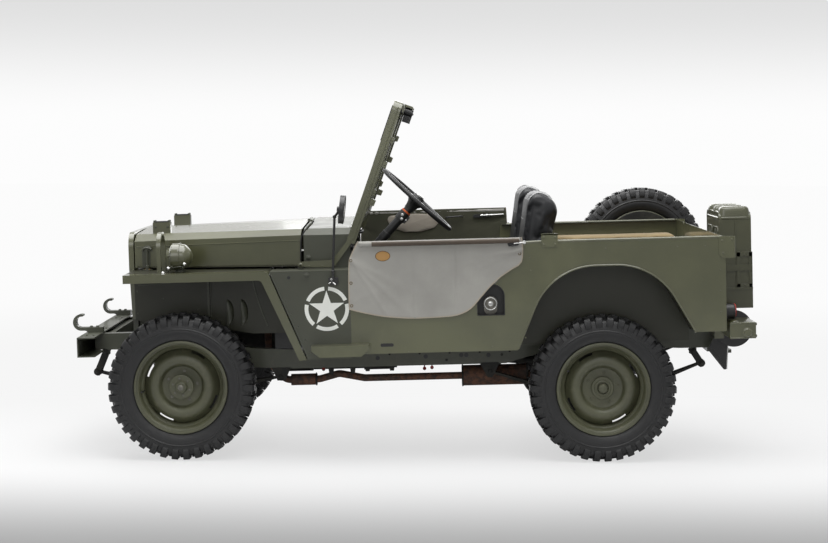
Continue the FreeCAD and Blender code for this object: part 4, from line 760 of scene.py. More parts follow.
WHEELS = [
    # tyre, rim, body, turn of the slots, front
    ("tyre_fl", "rim_fl", "wheel_fl", 27, True), ("tyre_fr", "rim_fr", "wheel_fr", 40, True),
    ("tyre_rl", "rim_rl", "wheel_rl", 61, False), ("tyre_rr", "rim_rr", "wheel_rr", 75, False),
    ("spare_tyre", "spare_rim", "chassis", 100, None),
]


def add_wheels(sizes):
    """One wheel is made at the origin, then copied to the five places and taken away."""
    tyre = tyre_shape(sizes.lugs, sizes.lug_depth).piece(
        "tread_fl", "rubber", 1.6, body="wheel_fl", angle=40)
    rim = rim_shape().piece("disc_fl", "wheel", body="wheel_fl", angle=50)
    thicken(rim, 3.6, middle=True)
    soften(rim, 0.9, 1, 50)
    parts = {"front": [], "rear": []}
    for key in parts:
        front = key == "front"
        parts[key].append(hub_shape(front).piece(f"hub_{key}", "wheel", 0.8, body="wheel_fl"))
        nuts = nut_ring(Shape(LOCAL), 5, 75, 7.8, 8.6, 1.71)
        parts[key].append(nuts.piece(f"nuts_{key}", "steel" if front else "wheel", 0.4,
                                     body="wheel_fl", slot=""))
        if front:
            bolts = nut_ring(Shape(LOCAL), 6, 42, 47, 5.2)
            bolts.turned((0, 60, 0), Y, [(0, 15), (11, 15), (13, 11)], 6)
            parts[key].append(bolts.piece("flange_bolts", "steel", 0.4, body="wheel_fl", slot=""))
    valve = Shape(LOCAL).tube([(182, 22, 0), (186, 40, 0), (190, 52, 0), (191, 58, 0)], 3.4)
    valve.turned((190.8, 55, 0), (0.1, 1, 0), [(0, 4.6), (9, 4.4), (10, 3)], 12)
    parts["valve"] = [valve.piece("valve", "black", 0.2, body="wheel_fl", slot="")]
    for tread_node, rim_node, body, turn, front in WHEELS:
        place = wheel_place(tread_node)
        tag = tread_node.replace("tyre", "wheel")
        spin = place @ Matrix.Rotation(radians(-turn if place[0][0] > 0 else turn), 4, "Y")
        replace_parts(twin(tyre, f"{tag}_tread", place, body), tread_node)
        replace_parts(twin(rim, f"{tag}_disc", spin, body), rim_node)
        twin(parts["valve"][0], f"{tag}_valve", spin @ Matrix.Rotation(0.6, 4, "Y"), body)
        if front is None:
            continue
        for part in parts["front" if front else "rear"]:
            twin(part, f"{tag}_{part.name}", place, body)
    for part in [tyre, rim, *parts["front"], *parts["rear"], *parts["valve"]]:
        bpy.data.objects.remove(part)


class FIELDCAR_OT_wheels(Operator):
    """Adds the five lugged tyres on their slotted rims"""

    bl_idname = "fieldcar.wheels"
    bl_label = "Wheels"

    def execute(self, context):
        add_wheels(context.scene.car_sizes)
        return {"FINISHED"}


# ---- front ----


def lamp_glasses():
    """Bowls, glasses and rims of the head lamps and the marker lamps."""
    glass, bowl, rims = Shape(), Shape(), Shape()
    for side in (1, -1):
        head = (-272.5, side * 322, 868)
        bowl.turned(head, (-1, 0, 0), [(0, 74), (1.2, 74), (1.4, 30), (0.4, 4)], 40)
        glass.turned(
            head, (-1, 0, 0), [(1.6, 76), (4, 75.4), (8, 66), (11.4, 48), (13.4, 26), (14, 0)], 40)
        rims.ring((-274, side * 322, 868), X, 79, 4.6, 56, 10)
        rims.turned((-276, side * 322, 952), (-1, 0, 0), [(0, 5), (7, 5), (8, 3)], 10)
        mark = (-276, side * 330, 744)
        bowl.turned(mark, (-1, 0, 0), [(-0.5, 22), (4, 22), (4.4, 4)], 28)
        glass.turned(mark, (-1, 0, 0), [(4.4, 21), (8, 19), (11, 12), (12, 0)], 28)
        rims.ring((-278, side * 330, 744), X, 23.5, 3.6, 36, 8)
    bowl.piece("lamp_bowls", "reflector")
    glass.piece("lamp_glasses", "lens")
    rims.piece("lamp_rims", "olive", 0.6)


def shielded_lamp():
    """The shielded lamp's rings, visor, slit, leads and nuts."""
    shell = Shape()
    shell.ring((8, 600, 980), X, 64.4, 1.9, 56, 8)
    shell.ring((-29, 600, 980), X, 58, 2.4, 48, 8)
    # the visor over the slit
    shell.loops([[(-34 - 22 * sin(t), 600 + 50 * cos(a), 986 + 40 * sin(a) - 8 * sin(t))
                  for a in (pi * k / 16 for k in range(17))]
                 for t in (0, 0.4, 0.9, 1.3)],
                closed=False, caps=False)
    thicken(shell.piece("shielded_lamp_rings", "olive"), 1.4)
    Shape().turned(
        (-36.5, 600, 980), (-1, 0, 0), [(0, 50), (1.5, 50), (3, 40), (3.6, 0)], 36
    ).piece("shielded_lamp_glass", "lens")
    small = Shape()
    for s in (-96, -84):
        for y in (527, 673):
            small.rivet((s, y, 906.5), Z, 5)
    small.tube([(-52, 640, 910), (-30, 648, 926), (4, 650, 934), (26, 642, 930)], 4, 8)
    small.rod((22, 652, 926), (40, 660, 946), 5, 12)
    small.rod((-40, 650, 916), (-26, 664, 938), 4.6, 12)
    small.turned((4, 600, 908), Z, [(0, 26), (5, 26), (8, 20), (20, 15)], 24)
    small.piece("shielded_lamp_fixings", "dark_olive", 0.4)
    nuts = Shape()
    for place in ((34, 661, 948), (-44, 664, 930), (-66, 690, 909)):
        nuts.bolt(place, (0.3, 0.8, 0.4), 7)
    nuts.piece("shielded_lamp_nuts", "chrome", 0.3)


class FIELDCAR_OT_lamps(Operator):
    """Glazes the head lamps, marker lamps and the shielded lamp"""

    bl_idname = "fieldcar.lamps"
    bl_label = "Lamps"

    def execute(self, context):
        lamp_glasses()
        shielded_lamp()
        return {"FINISHED"}


def grille_and_bumper():
    """The radiator's core, the bars' beads and the bolts in front."""
    core = Shape()
    face = met("radiator", (-400, 0, 800), X).x
    for k in range(48):
        level = 612 + 8 * k
        core.block((face - 5, face), (-200, 200), (level, level + 2.2))
    for k in range(27):
        y = -200 + 400 * k / 26
        core.block((face - 6.5, face), (y - 1.3, y + 1.3), (606, 996))
    core.piece("radiator_core", "underbody")
    posts = Shape()
    for k in range(10):
        y = -207 + 46 * k
        posts.tube([(-277.0, y, 700 + 300 * i / 4) for i in range(5)], 2.6, 8, 3)
    posts.tube([(-277, -196, 684), (-277, 0, 684), (-277, 196, 684)], 2.4, 8, 3)
    posts.piece("grille_beads", "olive")
    bolts = Shape()
    for side in (1, -1):
        for s in (-486, -456):
            level = top_of("front_bumper", s, side * 371.5, 640)
            bolts.bolt((s, side * 371.5, level), Z, 10)
        for s in (-478, -446):
            level = top_of("front_bumper", s, side * 520, 640)
            bolts.bolt((s, side * 520, level), Z, 7)
            bolts.bolt((s, side * 220, level), Z, 7)
        for y in (250, 420, 560):
            bolts.rivet((-512.2, side * y, 566), (-1, 0, 0), 6)
        for s, level in ((-238, 690), (-238, 800), (-238, 872)):
            bolts.rivet((s, side * 435, level), (0, side, 0), 5)
    bolts.piece("front_bolts", "dark_olive", 0.4)


def hood_catches():
    """Catches that hold the hood to the fenders."""
    plates, springs = Shape(), Shape()
    for side in (1, -1):
        s = -180
        y = side_of("hood", s, 960) if side > 0 else -side_of("hood", s, 960)
        foot = y + side * 22
        plates.plate([(s - 27, 916), (s + 27, 916), (s + 27, 1000), (s + 18, 1024), (s - 18, 1024),
                      (s - 27, 1000)],
                     y - side * 1, y + side * 2.4, 8)
        plates.tube(
            [(s - 22, y + side * 3, 1000), (s - 17, y + side * 5, 1016), (s, y + side * 6, 1022),
             (s + 17, y + side * 5, 1016), (s + 22, y + side * 3, 1000)],
            4, 8)
        plates.plate(rect(s - 24, s + 24, foot - 16, foot + 16), 905.2, 909, 7, "z")
        springs.rod((s, foot, 909), (s, foot, 930), 9, 16)
        springs.rod((s, foot, 928), (s, foot, 1010), 5.4, 14)
        springs.tube([(s - 21, foot, 1008), (s - 10, foot, 1014), (s, foot, 1015),
                      (s + 10, foot, 1014), (s + 21, foot, 1008)],
                     5.4, 10)
        springs.block((s - 7, s + 7), (min(y, foot), max(y, foot)), (996, 1004))
    plates.piece("hood_catch_plates", "dark_olive", 0.7)
    springs.piece("hood_catches", "dark_olive", 0.6)
    feet = Shape()
    for side in (1, -1):
        y = side_of("hood", -180, 960) * side + side * 22
        feet.bolt((-168, y + side * 10, 909), Z, 6)
        feet.bolt((-192, y - side * 8, 909), Z, 5)
    feet.piece("hood_catch_bolts", "brass", 0.3)


def hood_dressing():
    """Rests for the folded windscreen, a bead along each of the hood's shoulders and one along its
    left lower edge.
    """
    rests = Shape()
    studs = Shape()
    for side in (1, -1):
        rests.plate(rect(-160, -80, 1128, 1140), side * 320, side * 352, 4)
        for s in (-156, -84):
            for y in (322, 350):
                studs.turned((s, side * y, 1133), Z, [(0, 6), (10, 6), (12, 4)], 10)
        for s in (-150, -90):
            studs.bolt((s, side * 357, 1112), (0, side, 0), 6)
    rests.piece("hood_rest_pads", "black", 1, body="hood")
    studs.piece("hood_rest_studs", "dark_olive", 0.4, body="hood")
    # beads along the hood's shoulders and its left lower edge
    bead = Shape()
    for side in (1, -1):
        bead.tube([(s, side * (side_of("hood", s, 1020) + 0.4), 1020 + 20 * k / 12)
                   for k, s in enumerate(-238 + 822 * k / 12 for k in range(13))],
                  2.2, 8, 2)
        line = [(s, side_of("hood", s, 925) + 0.2, 921)
                for s in (-236 + 816 * k / 12 for k in range(13))]
        bead.tube(line, 2.8, 8, 2)
    bead.piece("hood_beads", "olive", body="hood")


def apron():
    """Louvres, ribs and rivets of the panels inside the front wheels."""
    louvres, slots = Shape(), Shape()
    y = side_of("fender_left", 203, 700, 700)
    for s in (203, 273):
        rows = []
        for k in range(19):
            t = -1 + 2 * k / 18
            full = sqrt(max(0.0, 1 - t * t))
            level = 682 + 67 * t
            rows.append(
                [(s, y + 0.3 + 17 * full, level), (s + 10 * full, y + 0.3 + 16 * full, level),
                 (s + 22 * full, y + 0.3 + 10 * full, level), (s + 34 * full, y + 0.2, level)])
        louvres.loops(rows, closed=False, caps=False)
        # painted shade: a thin black plate under each louvre stands for the dark opening behind it
        slots.prism([(s + 1 + 9 * sqrt(max(0, 1 - t * t)), 682 + 64 * t)
                     for t in (-1 + k / 8 for k in range(17))] + [(s - 1, 746), (s - 1, 618)],
                    y, y + 0.9)
    thicken(louvres.both().piece("apron_louvres", "dark_olive"), 1.6)
    slots.both().piece("apron_slot_shade", "black")
    ribs = Shape()
    ribs.plate(rect(108, 120, 664, 900), y, y + 9, 3)
    ribs.plate(rect(124, 128, 664, 900), y, y + 4, 1)
    ribs.plate([(-236, 826), (104, 846), (104, 850), (-236, 830)], y, y + 3, 1)
    ribs.plate(rect(132, 360, 846, 850), y, y + 3, 1)
    ribs.strip([(332, y + 3, 846), (364, y + 3, 720), (402, y + 3, 612)], 6, 5, (1, 0, 0.3))
    for s, level in ((-170, 846), (-110, 760), (60, 700), (150, 640), (300, 640)):
        ribs.rivet((s, y, level), Y, 4.5)
    ribs.both().piece("apron_ribs", "dark_olive", 0.7)
    seams = Shape()
    for k in range(7):
        share = k / 6
        s, level = 432 + 178 * share, 880 - 372 * share
        seams.rivet((s + 26, SKIN, level + 6), Y, 5)
    for s in (660, 720, 780):
        seams.rivet((s, SKIN, 505), Y, 5)
    seams.both().piece("fender_rivets", "dark_olive")


class FIELDCAR_OT_front_trim(Operator):
    """Adds the radiator core, bumper bolts, hood catches, louvres and fender details"""

    bl_idname = "fieldcar.front_trim"
    bl_label = "Front trim"

    def execute(self, context):
        grille_and_bumper()
        hood_catches()
        hood_dressing()
        apron()
        return {"FINISHED"}


# ---- body ----


def star_outline(centre, radius, inner):
    spots = []
    for k in range(10):
        r = radius if k % 2 == 0 else inner
        a = pi / 2 + pi * k / 5
        spots.append((centre[0] + r * cos(a), centre[1] + r * sin(a)))
    return spots


class FIELDCAR_OT_marks(Operator):
    """Paints the white star in its broken ring on both cowl sides"""

    bl_idname = "fieldcar.marks"
    bl_label = "Star"

    def execute(self, context):
        mark = Shape()
        centre = (717, 722)
        mark.prism(star_outline(centre, 87, 33.6), 735.05, 735.7)
        for k in range(5):
            first = pi / 2 + 2 * pi * k / 5 + radians(5.4)
            last = first + 2 * pi / 5 - radians(10.8)
            sweep = [first + (last - first) * n / 16 for n in range(17)]
            outline = [(centre[0] + 106 * cos(a), centre[1] + 106 * sin(a)) for a in sweep]
            outline += [
                (centre[0] + 88 * cos(a), centre[1] + 88 * sin(a)) for a in reversed(sweep)]
            mark.prism(outline, 735.05, 735.7)
        mark.both().piece("star_marks", "white")
        return {"FINISHED"}


def windscreen_fittings():
    """Pivots, rivets, brackets and rubbers of the windscreen's frame."""
    posts = Shape(SCREEN)
    y = 640
    posts.turned((0, y, 0), Y, [(0, 11), (3, 11), (4, 8), (9, 8), (10, 6)], 20)
    for x, z in ((-40, 10), (-100, 32), (-178, 240), (-178, 330), (-192, 450), (-192, 590),
                 (-192, 750), (-192, 862), (-206, 250), (-206, 520), (-206, 660)):
        posts.rivet((x, y, z), Y, 4.5)
    # a fold runs the length of each post
    posts.tube([(-199, 640.2, 200), (-199, 640.2, 520), (-199, 640.2, 872)], 2.4, 8, 3)
    posts.block((-216, -213), (605 - 10, 605 + 10), (320, 722))
    for z, reach in ((398, 26), (446, 12), (590, 20), (712, 15)):
        posts.plate(
            [(-214, z - 17), (-214 - reach, z - 15), (-216 - reach, z + 15), (-214, z + 18)], 604,
            634, 3)
        posts.bolt((-214 - reach * 0.6, 634, z), Y, 5)
    posts.both()
    posts.block((-172, -168), (-590, 590), (196, 204))
    posts.block((-172, -168), (-590, 590), (254, 260))
    for y in (-420, 0, 420):
        posts.plate(rect(-171, -166, 214, 246), y - 26, y + 26, 1)
    posts.piece("windscreen_fittings", "olive", 0.5, body="windscreen")
    rubber = Shape(SCREEN)
    for side in (1, -1):
        for face in (-173, -211):
            low, high = sorted((side * 22, side * 598))
            frame_line = rounded(rect(low, high, 318, 856), 14, 5)
            frame_line.append(frame_line[0])
            rubber.strip([(face, a, b) for a, b in frame_line], 3.4, 7, X, 1)
    rubber.piece("windscreen_rubbers", "rubber", body="windscreen", slot="black")


def wipers():
    """Wiper motors, their covers, arms and blades."""
    black = Shape(SCREEN)
    for side in (1, -1):
        y = side * 300
        # motor, its cap and plug
        black.turned(
            (-218, y, 866), (-1, 0, 0), [(0, 20), (20, 20.6), (34, 20), (40, 14), (43, 0)], 24)
        black.turned((-262, y, 866), (-1, 0, 0), [(0, 6), (4, 6), (6, 3)], 10)
        black.tube([(-216, y - 20, 884), (-232, y - 10, 893), (-250, y, 888)], 3.4, 8)
        # arms and blades on the glass
        sway = side * -0.16
        for end, wide in ((672, 5.4), (582, 4)):
            black.strip([(-168, y, 874), (-165, y + sway * 90, 782), (-166, y + sway * 180, end)],
                        wide, 2, Y)
        black.strip(
            [(-169, y + sway * 330, 542), (-168, y + sway * 220, 642), (-169, y + sway * 60, 764)],
            5, 5, Y)
        black.turned((-171, y, 868), X, [(0, 9), (3, 9), (5, 6), (7, 6)], 14)
    black.piece("wiper_arms", "black", 0.4, body="windscreen")
    pale = Shape(SCREEN)
    y = 300
    pale.plate(rect(-214, -262, 888, 899), y - 22, y + 22, 3)
    pale.both().piece("wiper_covers", "olive", 0.8, body="windscreen")


def screen_clamps():
    """Wing bolts that hold the screen up, and the clamps at its foot."""
    clamps = Shape()
    for level in (958, 886):
        y = 735.2 if level < 905 else 588
        clamps.turned((625, y, level), Y, [(0, 12), (4, 12), (5, 7), (10, 7)], 16)
        clamps.plate([(612, level - 4), (638, level - 4), (640, level + 4), (610, level + 4)],
                     y + 9, y + 13, 3)
    clamps.both().piece("screen_wing_bolts", "dark_olive", 0.5)
    bright = Shape()
    for side in (1, -1):
        for s, level in ((836, 1066), (852, 1080), (838, 1096)):
            bright.ball((s, side * 560, level), 9, 6)
        bright.rod((832, side * 560, 1060), (858, side * 560, 1098), 6, 12)
        bright.bolt((842, side * 572, 1076), (0, side, 0), 8)
    bright.piece("screen_clamps", "chrome", 0.3)


class FIELDCAR_OT_screen_trim(Operator):
    """Adds the windscreen's pivots, clamps, rubbers, wiper blades and motors"""

    bl_idname = "fieldcar.screen_trim"
    bl_label = "Windscreen trim"

    def execute(self, context):
        windscreen_fittings()
        wipers()
        screen_clamps()
        return {"FINISHED"}


def mirror():
    """The mirror's glass, rim and clamp."""
    glass = Shape()
    tilt = Vector((1, 0, -0.12)).normalized()
    centre = Vector((818, 833, 1197))
    glass.turned(centre + tilt * 0.2, tilt, [(0, 60), (1.2, 59), (1.4, 0)], 48)
    glass.piece("mirror_glass", "reflector", slot="steel")
    rim = Shape()
    rim.ring(centre - tilt * 1, tilt, 63.5, 4.4, 56, 10)
    rim.turned(centre - tilt * 34, tilt, [(0, 12), (10, 14), (14, 30), (22, 52), (30, 64)], 40)
    rim.piece("mirror_rim", "black", 0.4)
    clamp = Shape()
    clamp.bolt((756, 747, 858), Y, 8)
    clamp.bolt((744, 753, 864), Y, 6)
    clamp.rod((750, 752, 848), (764, 756, 838), 4.4, 10)
    clamp.rod((741, 752, 850), (731, 756, 844), 4, 10)
    clamp.rod((780, 765, 1164), (804, 765, 1164), 2.6, 8)
    clamp.rod((792, 765, 1156), (792, 765, 1174), 2.6, 8)
    clamp.piece("mirror_bolts", "chrome", 0.3)


def hood_rod():
    """The catch rod beside the hood, and black discs on the cowl painted as the shade in its
    holes.
    """
    Shape().tube([(588, 574, 928), (588, 578, 960), (590, 580, 1010), (592, 582, 1046),
                  (604, 584, 1076), (624, 585, 1102), (642, 586, 1120), (658, 586, 1134)],
                 3.6, 10, 4).piece("hood_rod", "black")
    Shape().tube(
        [(618, 585, 1094), (634, 586, 1112), (650, 586, 1126)], 6, 12, 4
    ).piece("hood_rod_sleeve", "dark_olive")
    # painted shade: a thin black disc on each cowl side stands for the dark of a hole
    dark = Shape()
    dark.turned((540, SKIN, 915 - 40), Y, [(0.1, 8), (0.8, 8), (0.9, 0)], 20)
    dark.both().piece("cowl_hole_shade", "black")


def filler_cap():
    """The cap with its knurled edge, vent and the lip of its recess."""
    cap = Shape()
    cap.turned(
        (1497, 722, 726), Y, [(0, 33), (8, 34), (10.4, 31), (10.8, 22), (8, 20), (8, 0)], 40)
    for k in range(14):
        a = 2 * pi * k / 14
        cap.rod((1497 + 33.4 * cos(a), 718, 726 + 33.4 * sin(a)),
                (1497 + 33.4 * cos(a), 730, 726 + 33.4 * sin(a)), 2.4, 8)
    cap.turned((1497, 700, 700), Y, [(0, 32), (12, 32), (13, 28)], 32)
    cap.piece("filler_cap", "steel", 0.5)
    knob = Shape().turned((1497, 730, 726), Y, [(0, 12), (2, 12), (4, 8), (4.6, 0)], 20)
    knob.ring((1497, 731, 726), Y, 29, 3, 44, 8)
    knob.piece("filler_vent", "chrome")
    lip = Shape()
    edge = rounded([(1430, 667), (1567, 667), (1567, 822, 60), (1430, 822, 60)], 6, 8)
    edge.append(edge[0])
    lip.strip([(a, 735.4, b) for a, b in edge], 2.0, 4, Y, 1)
    lip.piece("filler_lip", "olive")


def tub_edges():
    """Bow sockets, corner plates, the rolled edge, arch beads and rivets."""
    plates = Shape()
    plates.plate(rect(1744, 1822, 990, 1054), SKIN, 741, 5)
    plates.plate(rect(1744, 1822, 1046, 1052), 700, 741, 1)
    plates.plate([(2584, 1021), (2660, 1019), (2660, 916), (2600, 916), (2584, 934)], SKIN, 741, 9)
    plates.rod((2657, 738, 918), (2657, 738, 1018), 5, 12)
    for s, level in ((1756, 1002), (1810, 1002), (1756, 1036), (1810, 1036), (2600, 1000),
                     (2604, 940), (2646, 1004)):
        plates.bolt((s, 741, level), Y, 6)
    plates.both().piece("bow_brackets", "olive", 0.8)
    rolled = Shape()
    rolled.tube(
        [(1652, 731, 1014)] + [(1652 + 950 * k / 8, 731, 1016) for k in range(1, 9)], 7, 12, 3)
    rolled.both()
    arch = rounded([(1622, 500), (1790, 896, 330), (2282, 896, 330), (2470, 566)], 4, 14)[:-1]
    rim_line = [p for p in arch if p[1] > 506]
    rolled.tube([(a, 734.2, b) for a, b in rim_line], 4.6, 10, 1)
    far = [(a, -734.2, b) for a, b in rim_line]
    rolled.tube(far, 4.6, 10, 1)
    rolled.piece("tub_edges", "olive")
    studs = Shape()
    for s, level in ((1690, 940), (1690, 880), (1880, 975), (2050, 975), (2220, 975), (2390, 975),
                     (2520, 975), (2590, 860), (2590, 760), (2590, 660), (1660, 560), (1500, 520),
                     (1300, 505), (1100, 505), (900, 505)):
        studs.rivet((s, SKIN, level), Y, 4.2)
    studs.both().piece("tub_rivets", "olive")


class FIELDCAR_OT_body_trim(Operator):
    """Adds the mirror glass, rods, brackets, rails, cap and rivets of the tub"""

    bl_idname = "fieldcar.body_trim"
    bl_label = "Body trim"

    def execute(self, context):
        mirror()
        hood_rod()
        filler_cap()
        tub_edges()
        return {"FINISHED"}


# ---- canvas doors, seats and cushions ----

DOOR_FRONT = [(874, 1040), (846, 985), (831, 945), (826, 860), (825, 718)]
DOOR_FOOT = [
    (825, 718), (900, 698), (990, 680), (1118, 668), (1264, 671), (1340, 679), (1400, 706),
    (1450, 760), (1500, 814), (1543, 852), (1599, 889), (1636, 909), (1650, 930), (1652, 946)]
DOOR_REAR = [(1650, 1040), (1653, 1008), (1654, 975), (1652, 946)]


def share_line(points, steps):
    """Points at even distances along a smooth line through the given ones."""
    line = smooth_line([(a, b, 0) for a, b in points], 8)
    runs = [0.0]
    for a, b in zip(line, line[1:]):
        runs.append(runs[-1] + (b - a).length)
    made = []
    k = 0
    for i in range(steps + 1):
        want = runs[-1] * i / steps
        while k < len(runs) - 2 and runs[k + 1] < want:
            k += 1
        t = (want - runs[k]) / max(runs[k + 1] - runs[k], 1e-6)
        made.append(line[k].lerp(line[k + 1], t))
    return made


def door_grid(top, across=120, down=60):
    """The door's outline as a net of station and level."""
    front = [p + Vector((0, top - 1040, 0)) * max(0, (p.y - 700) / 340)
             for p in share_line(DOOR_FRONT, down)]
    rear = [p + Vector((0, (top - 1040) * max(0, (p.y - 946) / 94), 0))
            for p in share_line(DOOR_REAR, down)]
    foot = share_line(DOOR_FOOT, across)
    rows = []
    for j in range(down + 1):
        t = j / down
        row = []
        for i in range(across + 1):
            u = i / across
            up = front[0].lerp(rear[0], u)
            spot = up.lerp(foot[i], t)
            spot += (front[j] - front[0].lerp(front[-1], t)) * (1 - u) ** 4
            spot += (rear[j] - rear[0].lerp(rear[-1], t)) * u ** 4
            row.append(spot)
        rows.append(row)
    return rows


def ridge(away, width):
    return exp(-(away / width) ** 2)


def door_folds(s, z, top):
    """How far the canvas stands out of its plane, in millimetres."""
    out = 3.2
    out += 3.2 * noise.noise(Vector((s / 240, z / 170, 3.1)))
    out += 1.8 * noise.noise(Vector((s / 64, z / 84, 8.4)))
    # tension lines fan down and back from the front corner, and forward from the latch
    for slope, size, width in ((0.55, 4.2, 12), (0.95, 3.6, 10), (1.6, 3.0, 11)):
        ahead = s - 838
        away = (z - (top - 90)) + ahead * slope
        out += size * ridge(away, width + ahead * 0.06) * max(0, 1 - ahead / 420)
    for slope, size in ((0.10, 3.4), (0.24, 2.8), (0.42, 2.2)):
        back = 1630 - s
        away = (z - (top - 62)) + back * slope
        out += size * ridge(away, 10 + back * 0.04) * max(0, 1 - back / 560)
    # two stitched seams run down the canvas
    for seam in (1126, 1330):
        out -= 1.6 * ridge(s - seam, 4)
        out += 1.0 * ridge(s - seam - 8, 5)
    # the lower front corner is pulled tight
    out += 1.6 * ridge((z - 752) - (s - 825) * 0.32, 12) * max(0, 1 - (s - 825) / 260)
    return max(0.4, min(out, 10.5))


def rim_of(net):
    """A net's front edge, foot and rear edge as one line; its top edge is straight."""
    return [row[0] for row in net] + net[-1][1:] + [row[-1] for row in net[::-1][1:]]


def door_sheet(name, body, side, top, coat, plane, share, thick):
    """One layer of door canvas, hung on the rail."""
    net = door_grid(top)
    shape = Shape()
    shape.loops([[(p.x, side * (plane + share * door_folds(p.x, p.y, top)), p.y) for p in row]
                 for row in net],
                closed=False, caps=False)
    made = shape.piece(name, coat, body=body)
    thicken(made, thick, middle=True)
    edge = rim_of(net)
    area = abs(sum(a.x * b.y - b.x * a.y for a, b in zip(edge, edge[1:] + edge[:1]))) / 2e6
    return made


def door_binding(name, body, side, top, plane):
    """The stitched tape round the canvas edge."""
    line = [(p.x, side * (plane + 0.9 * door_folds(p.x, p.y, top) + 0.8), p.y)
            for p in rim_of(door_grid(top))[::3]]
    return Shape().strip(line, 2.6, 6, Y, 1).piece(name, "hem", 0.7, body=body)


def snapped(piece, points, lift=0.0):
    """The points moved onto a piece's surface, in its own millimetres on the body."""
    back = BODY.inverted()
    made = []
    for p in points:
        found, spot, normal, _ = piece.closest_point_on_mesh(BODY @ Vector(p))
        made.append(back @ (spot + normal * lift * MM))
    return made


def applied(piece):
    """Turns a piece's modifiers into its mesh."""
    shown = piece.evaluated_get(bpy.context.evaluated_depsgraph_get())
    mesh = bpy.data.meshes.new_from_object(shown)
    piece.modifiers.clear()
    old, piece.data = piece.data, mesh
    bpy.data.meshes.remove(old)
    mesh.shade_smooth()
    return piece


CLOTH = {"quality": 4, "mass": 0.25, "tension_stiffness": 22, "compression_stiffness": 22,
         "bending_stiffness": 1.2, "use_pressure": True, "uniform_pressure_force": 4.0}
CLOTH_STEPS = 20


def filled(piece, cap, floor_level=None):
    """Blows a closed form up as cloth, caps how far it moves, and rests it on its seat."""
    net = piece.modifiers.new("Net", "REMESH")
    net.mode = "VOXEL"
    net.voxel_size = 0.006
    applied(piece)
    before = [v.co.copy() for v in piece.data.vertices]
    cloth = piece.modifiers.new("Fill", "CLOTH")
    for key, value in CLOTH.items():
        setattr(cloth.settings, key, value)
    cloth.settings.effector_weights.gravity = 0
    cloth.collision_settings.use_collision = False
    cloth.point_cache.frame_start = 1
    cloth.point_cache.frame_end = CLOTH_STEPS
    for step in range(1, CLOTH_STEPS + 1):
        bpy.context.scene.frame_set(step)
    applied(piece)
    bpy.context.scene.frame_set(1)
    for v, old in zip(piece.data.vertices, before):
        moved = v.co - old
        if moved.length > cap * MM:
            v.co = old + moved * (cap * MM / moved.length)
    even = piece.modifiers.new("Even", "SMOOTH")
    even.factor = 0.5
    even.iterations = 6
    applied(piece)
    if floor_level is not None:
        back = BODY.inverted()
        for v in piece.data.vertices:
            spot = back @ v.co
            if spot.z < floor_level:
                spot.z = floor_level
                v.co = BODY @ spot
    return piece


SEAT_BACK = [(1652, 828), (1680, 1008), (1716, 1236, 30), (1752, 1254, 34), (1838, 1196, 46),
             (1812, 1092), (1744, 812, 26)]
SEAT_PAD = [(1240, 701, 12), (1690, 701, 14), (1690, 818, 20), (1300, 812, 44), (1240, 784, 32)]


def crowned(outline, low, high, radius, ends=38, give=10):
    """A closed form drawn along the car, its sides drawn in towards both ends."""
    ring = rounded(outline, radius, 6)
    middle = Vector((sum(p[0] for p in ring) / len(ring), sum(p[1] for p in ring) / len(ring)))
    rows = []
    for share in (0, 0.12, 0.3, 0.55, 0.8, 1.0):
        inset = give * (1 - sqrt(max(0, 1 - (1 - share) ** 2)))
        y = low + ends * share * 0.6
        rows.append((y, inset))
    rows += [((low + high) / 2, -give * 0.25)]
    rows += [(low + high - y, inset) for y, inset in reversed(rows[:-1])]
    made = []
    for y, inset in rows:
        row = []
        for p in ring:
            way = Vector(p) - middle
            spot = Vector(p) - way.normalized() * inset
            row.append((spot.x, y, spot.y))
        made.append(row)
    shape = Shape()
    shape.loops(made)
    return shape


def moved_copy(piece, name, body, offset):
    """The same piece again, further across the car."""
    made = piece.copy()
    made.data = piece.data.copy()
    made.name = name
    bpy.context.scene.collection.objects.link(made)
    made.data.transform(Matrix.Translation((0, offset * MM, 0)))
    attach(made, body)
    return made


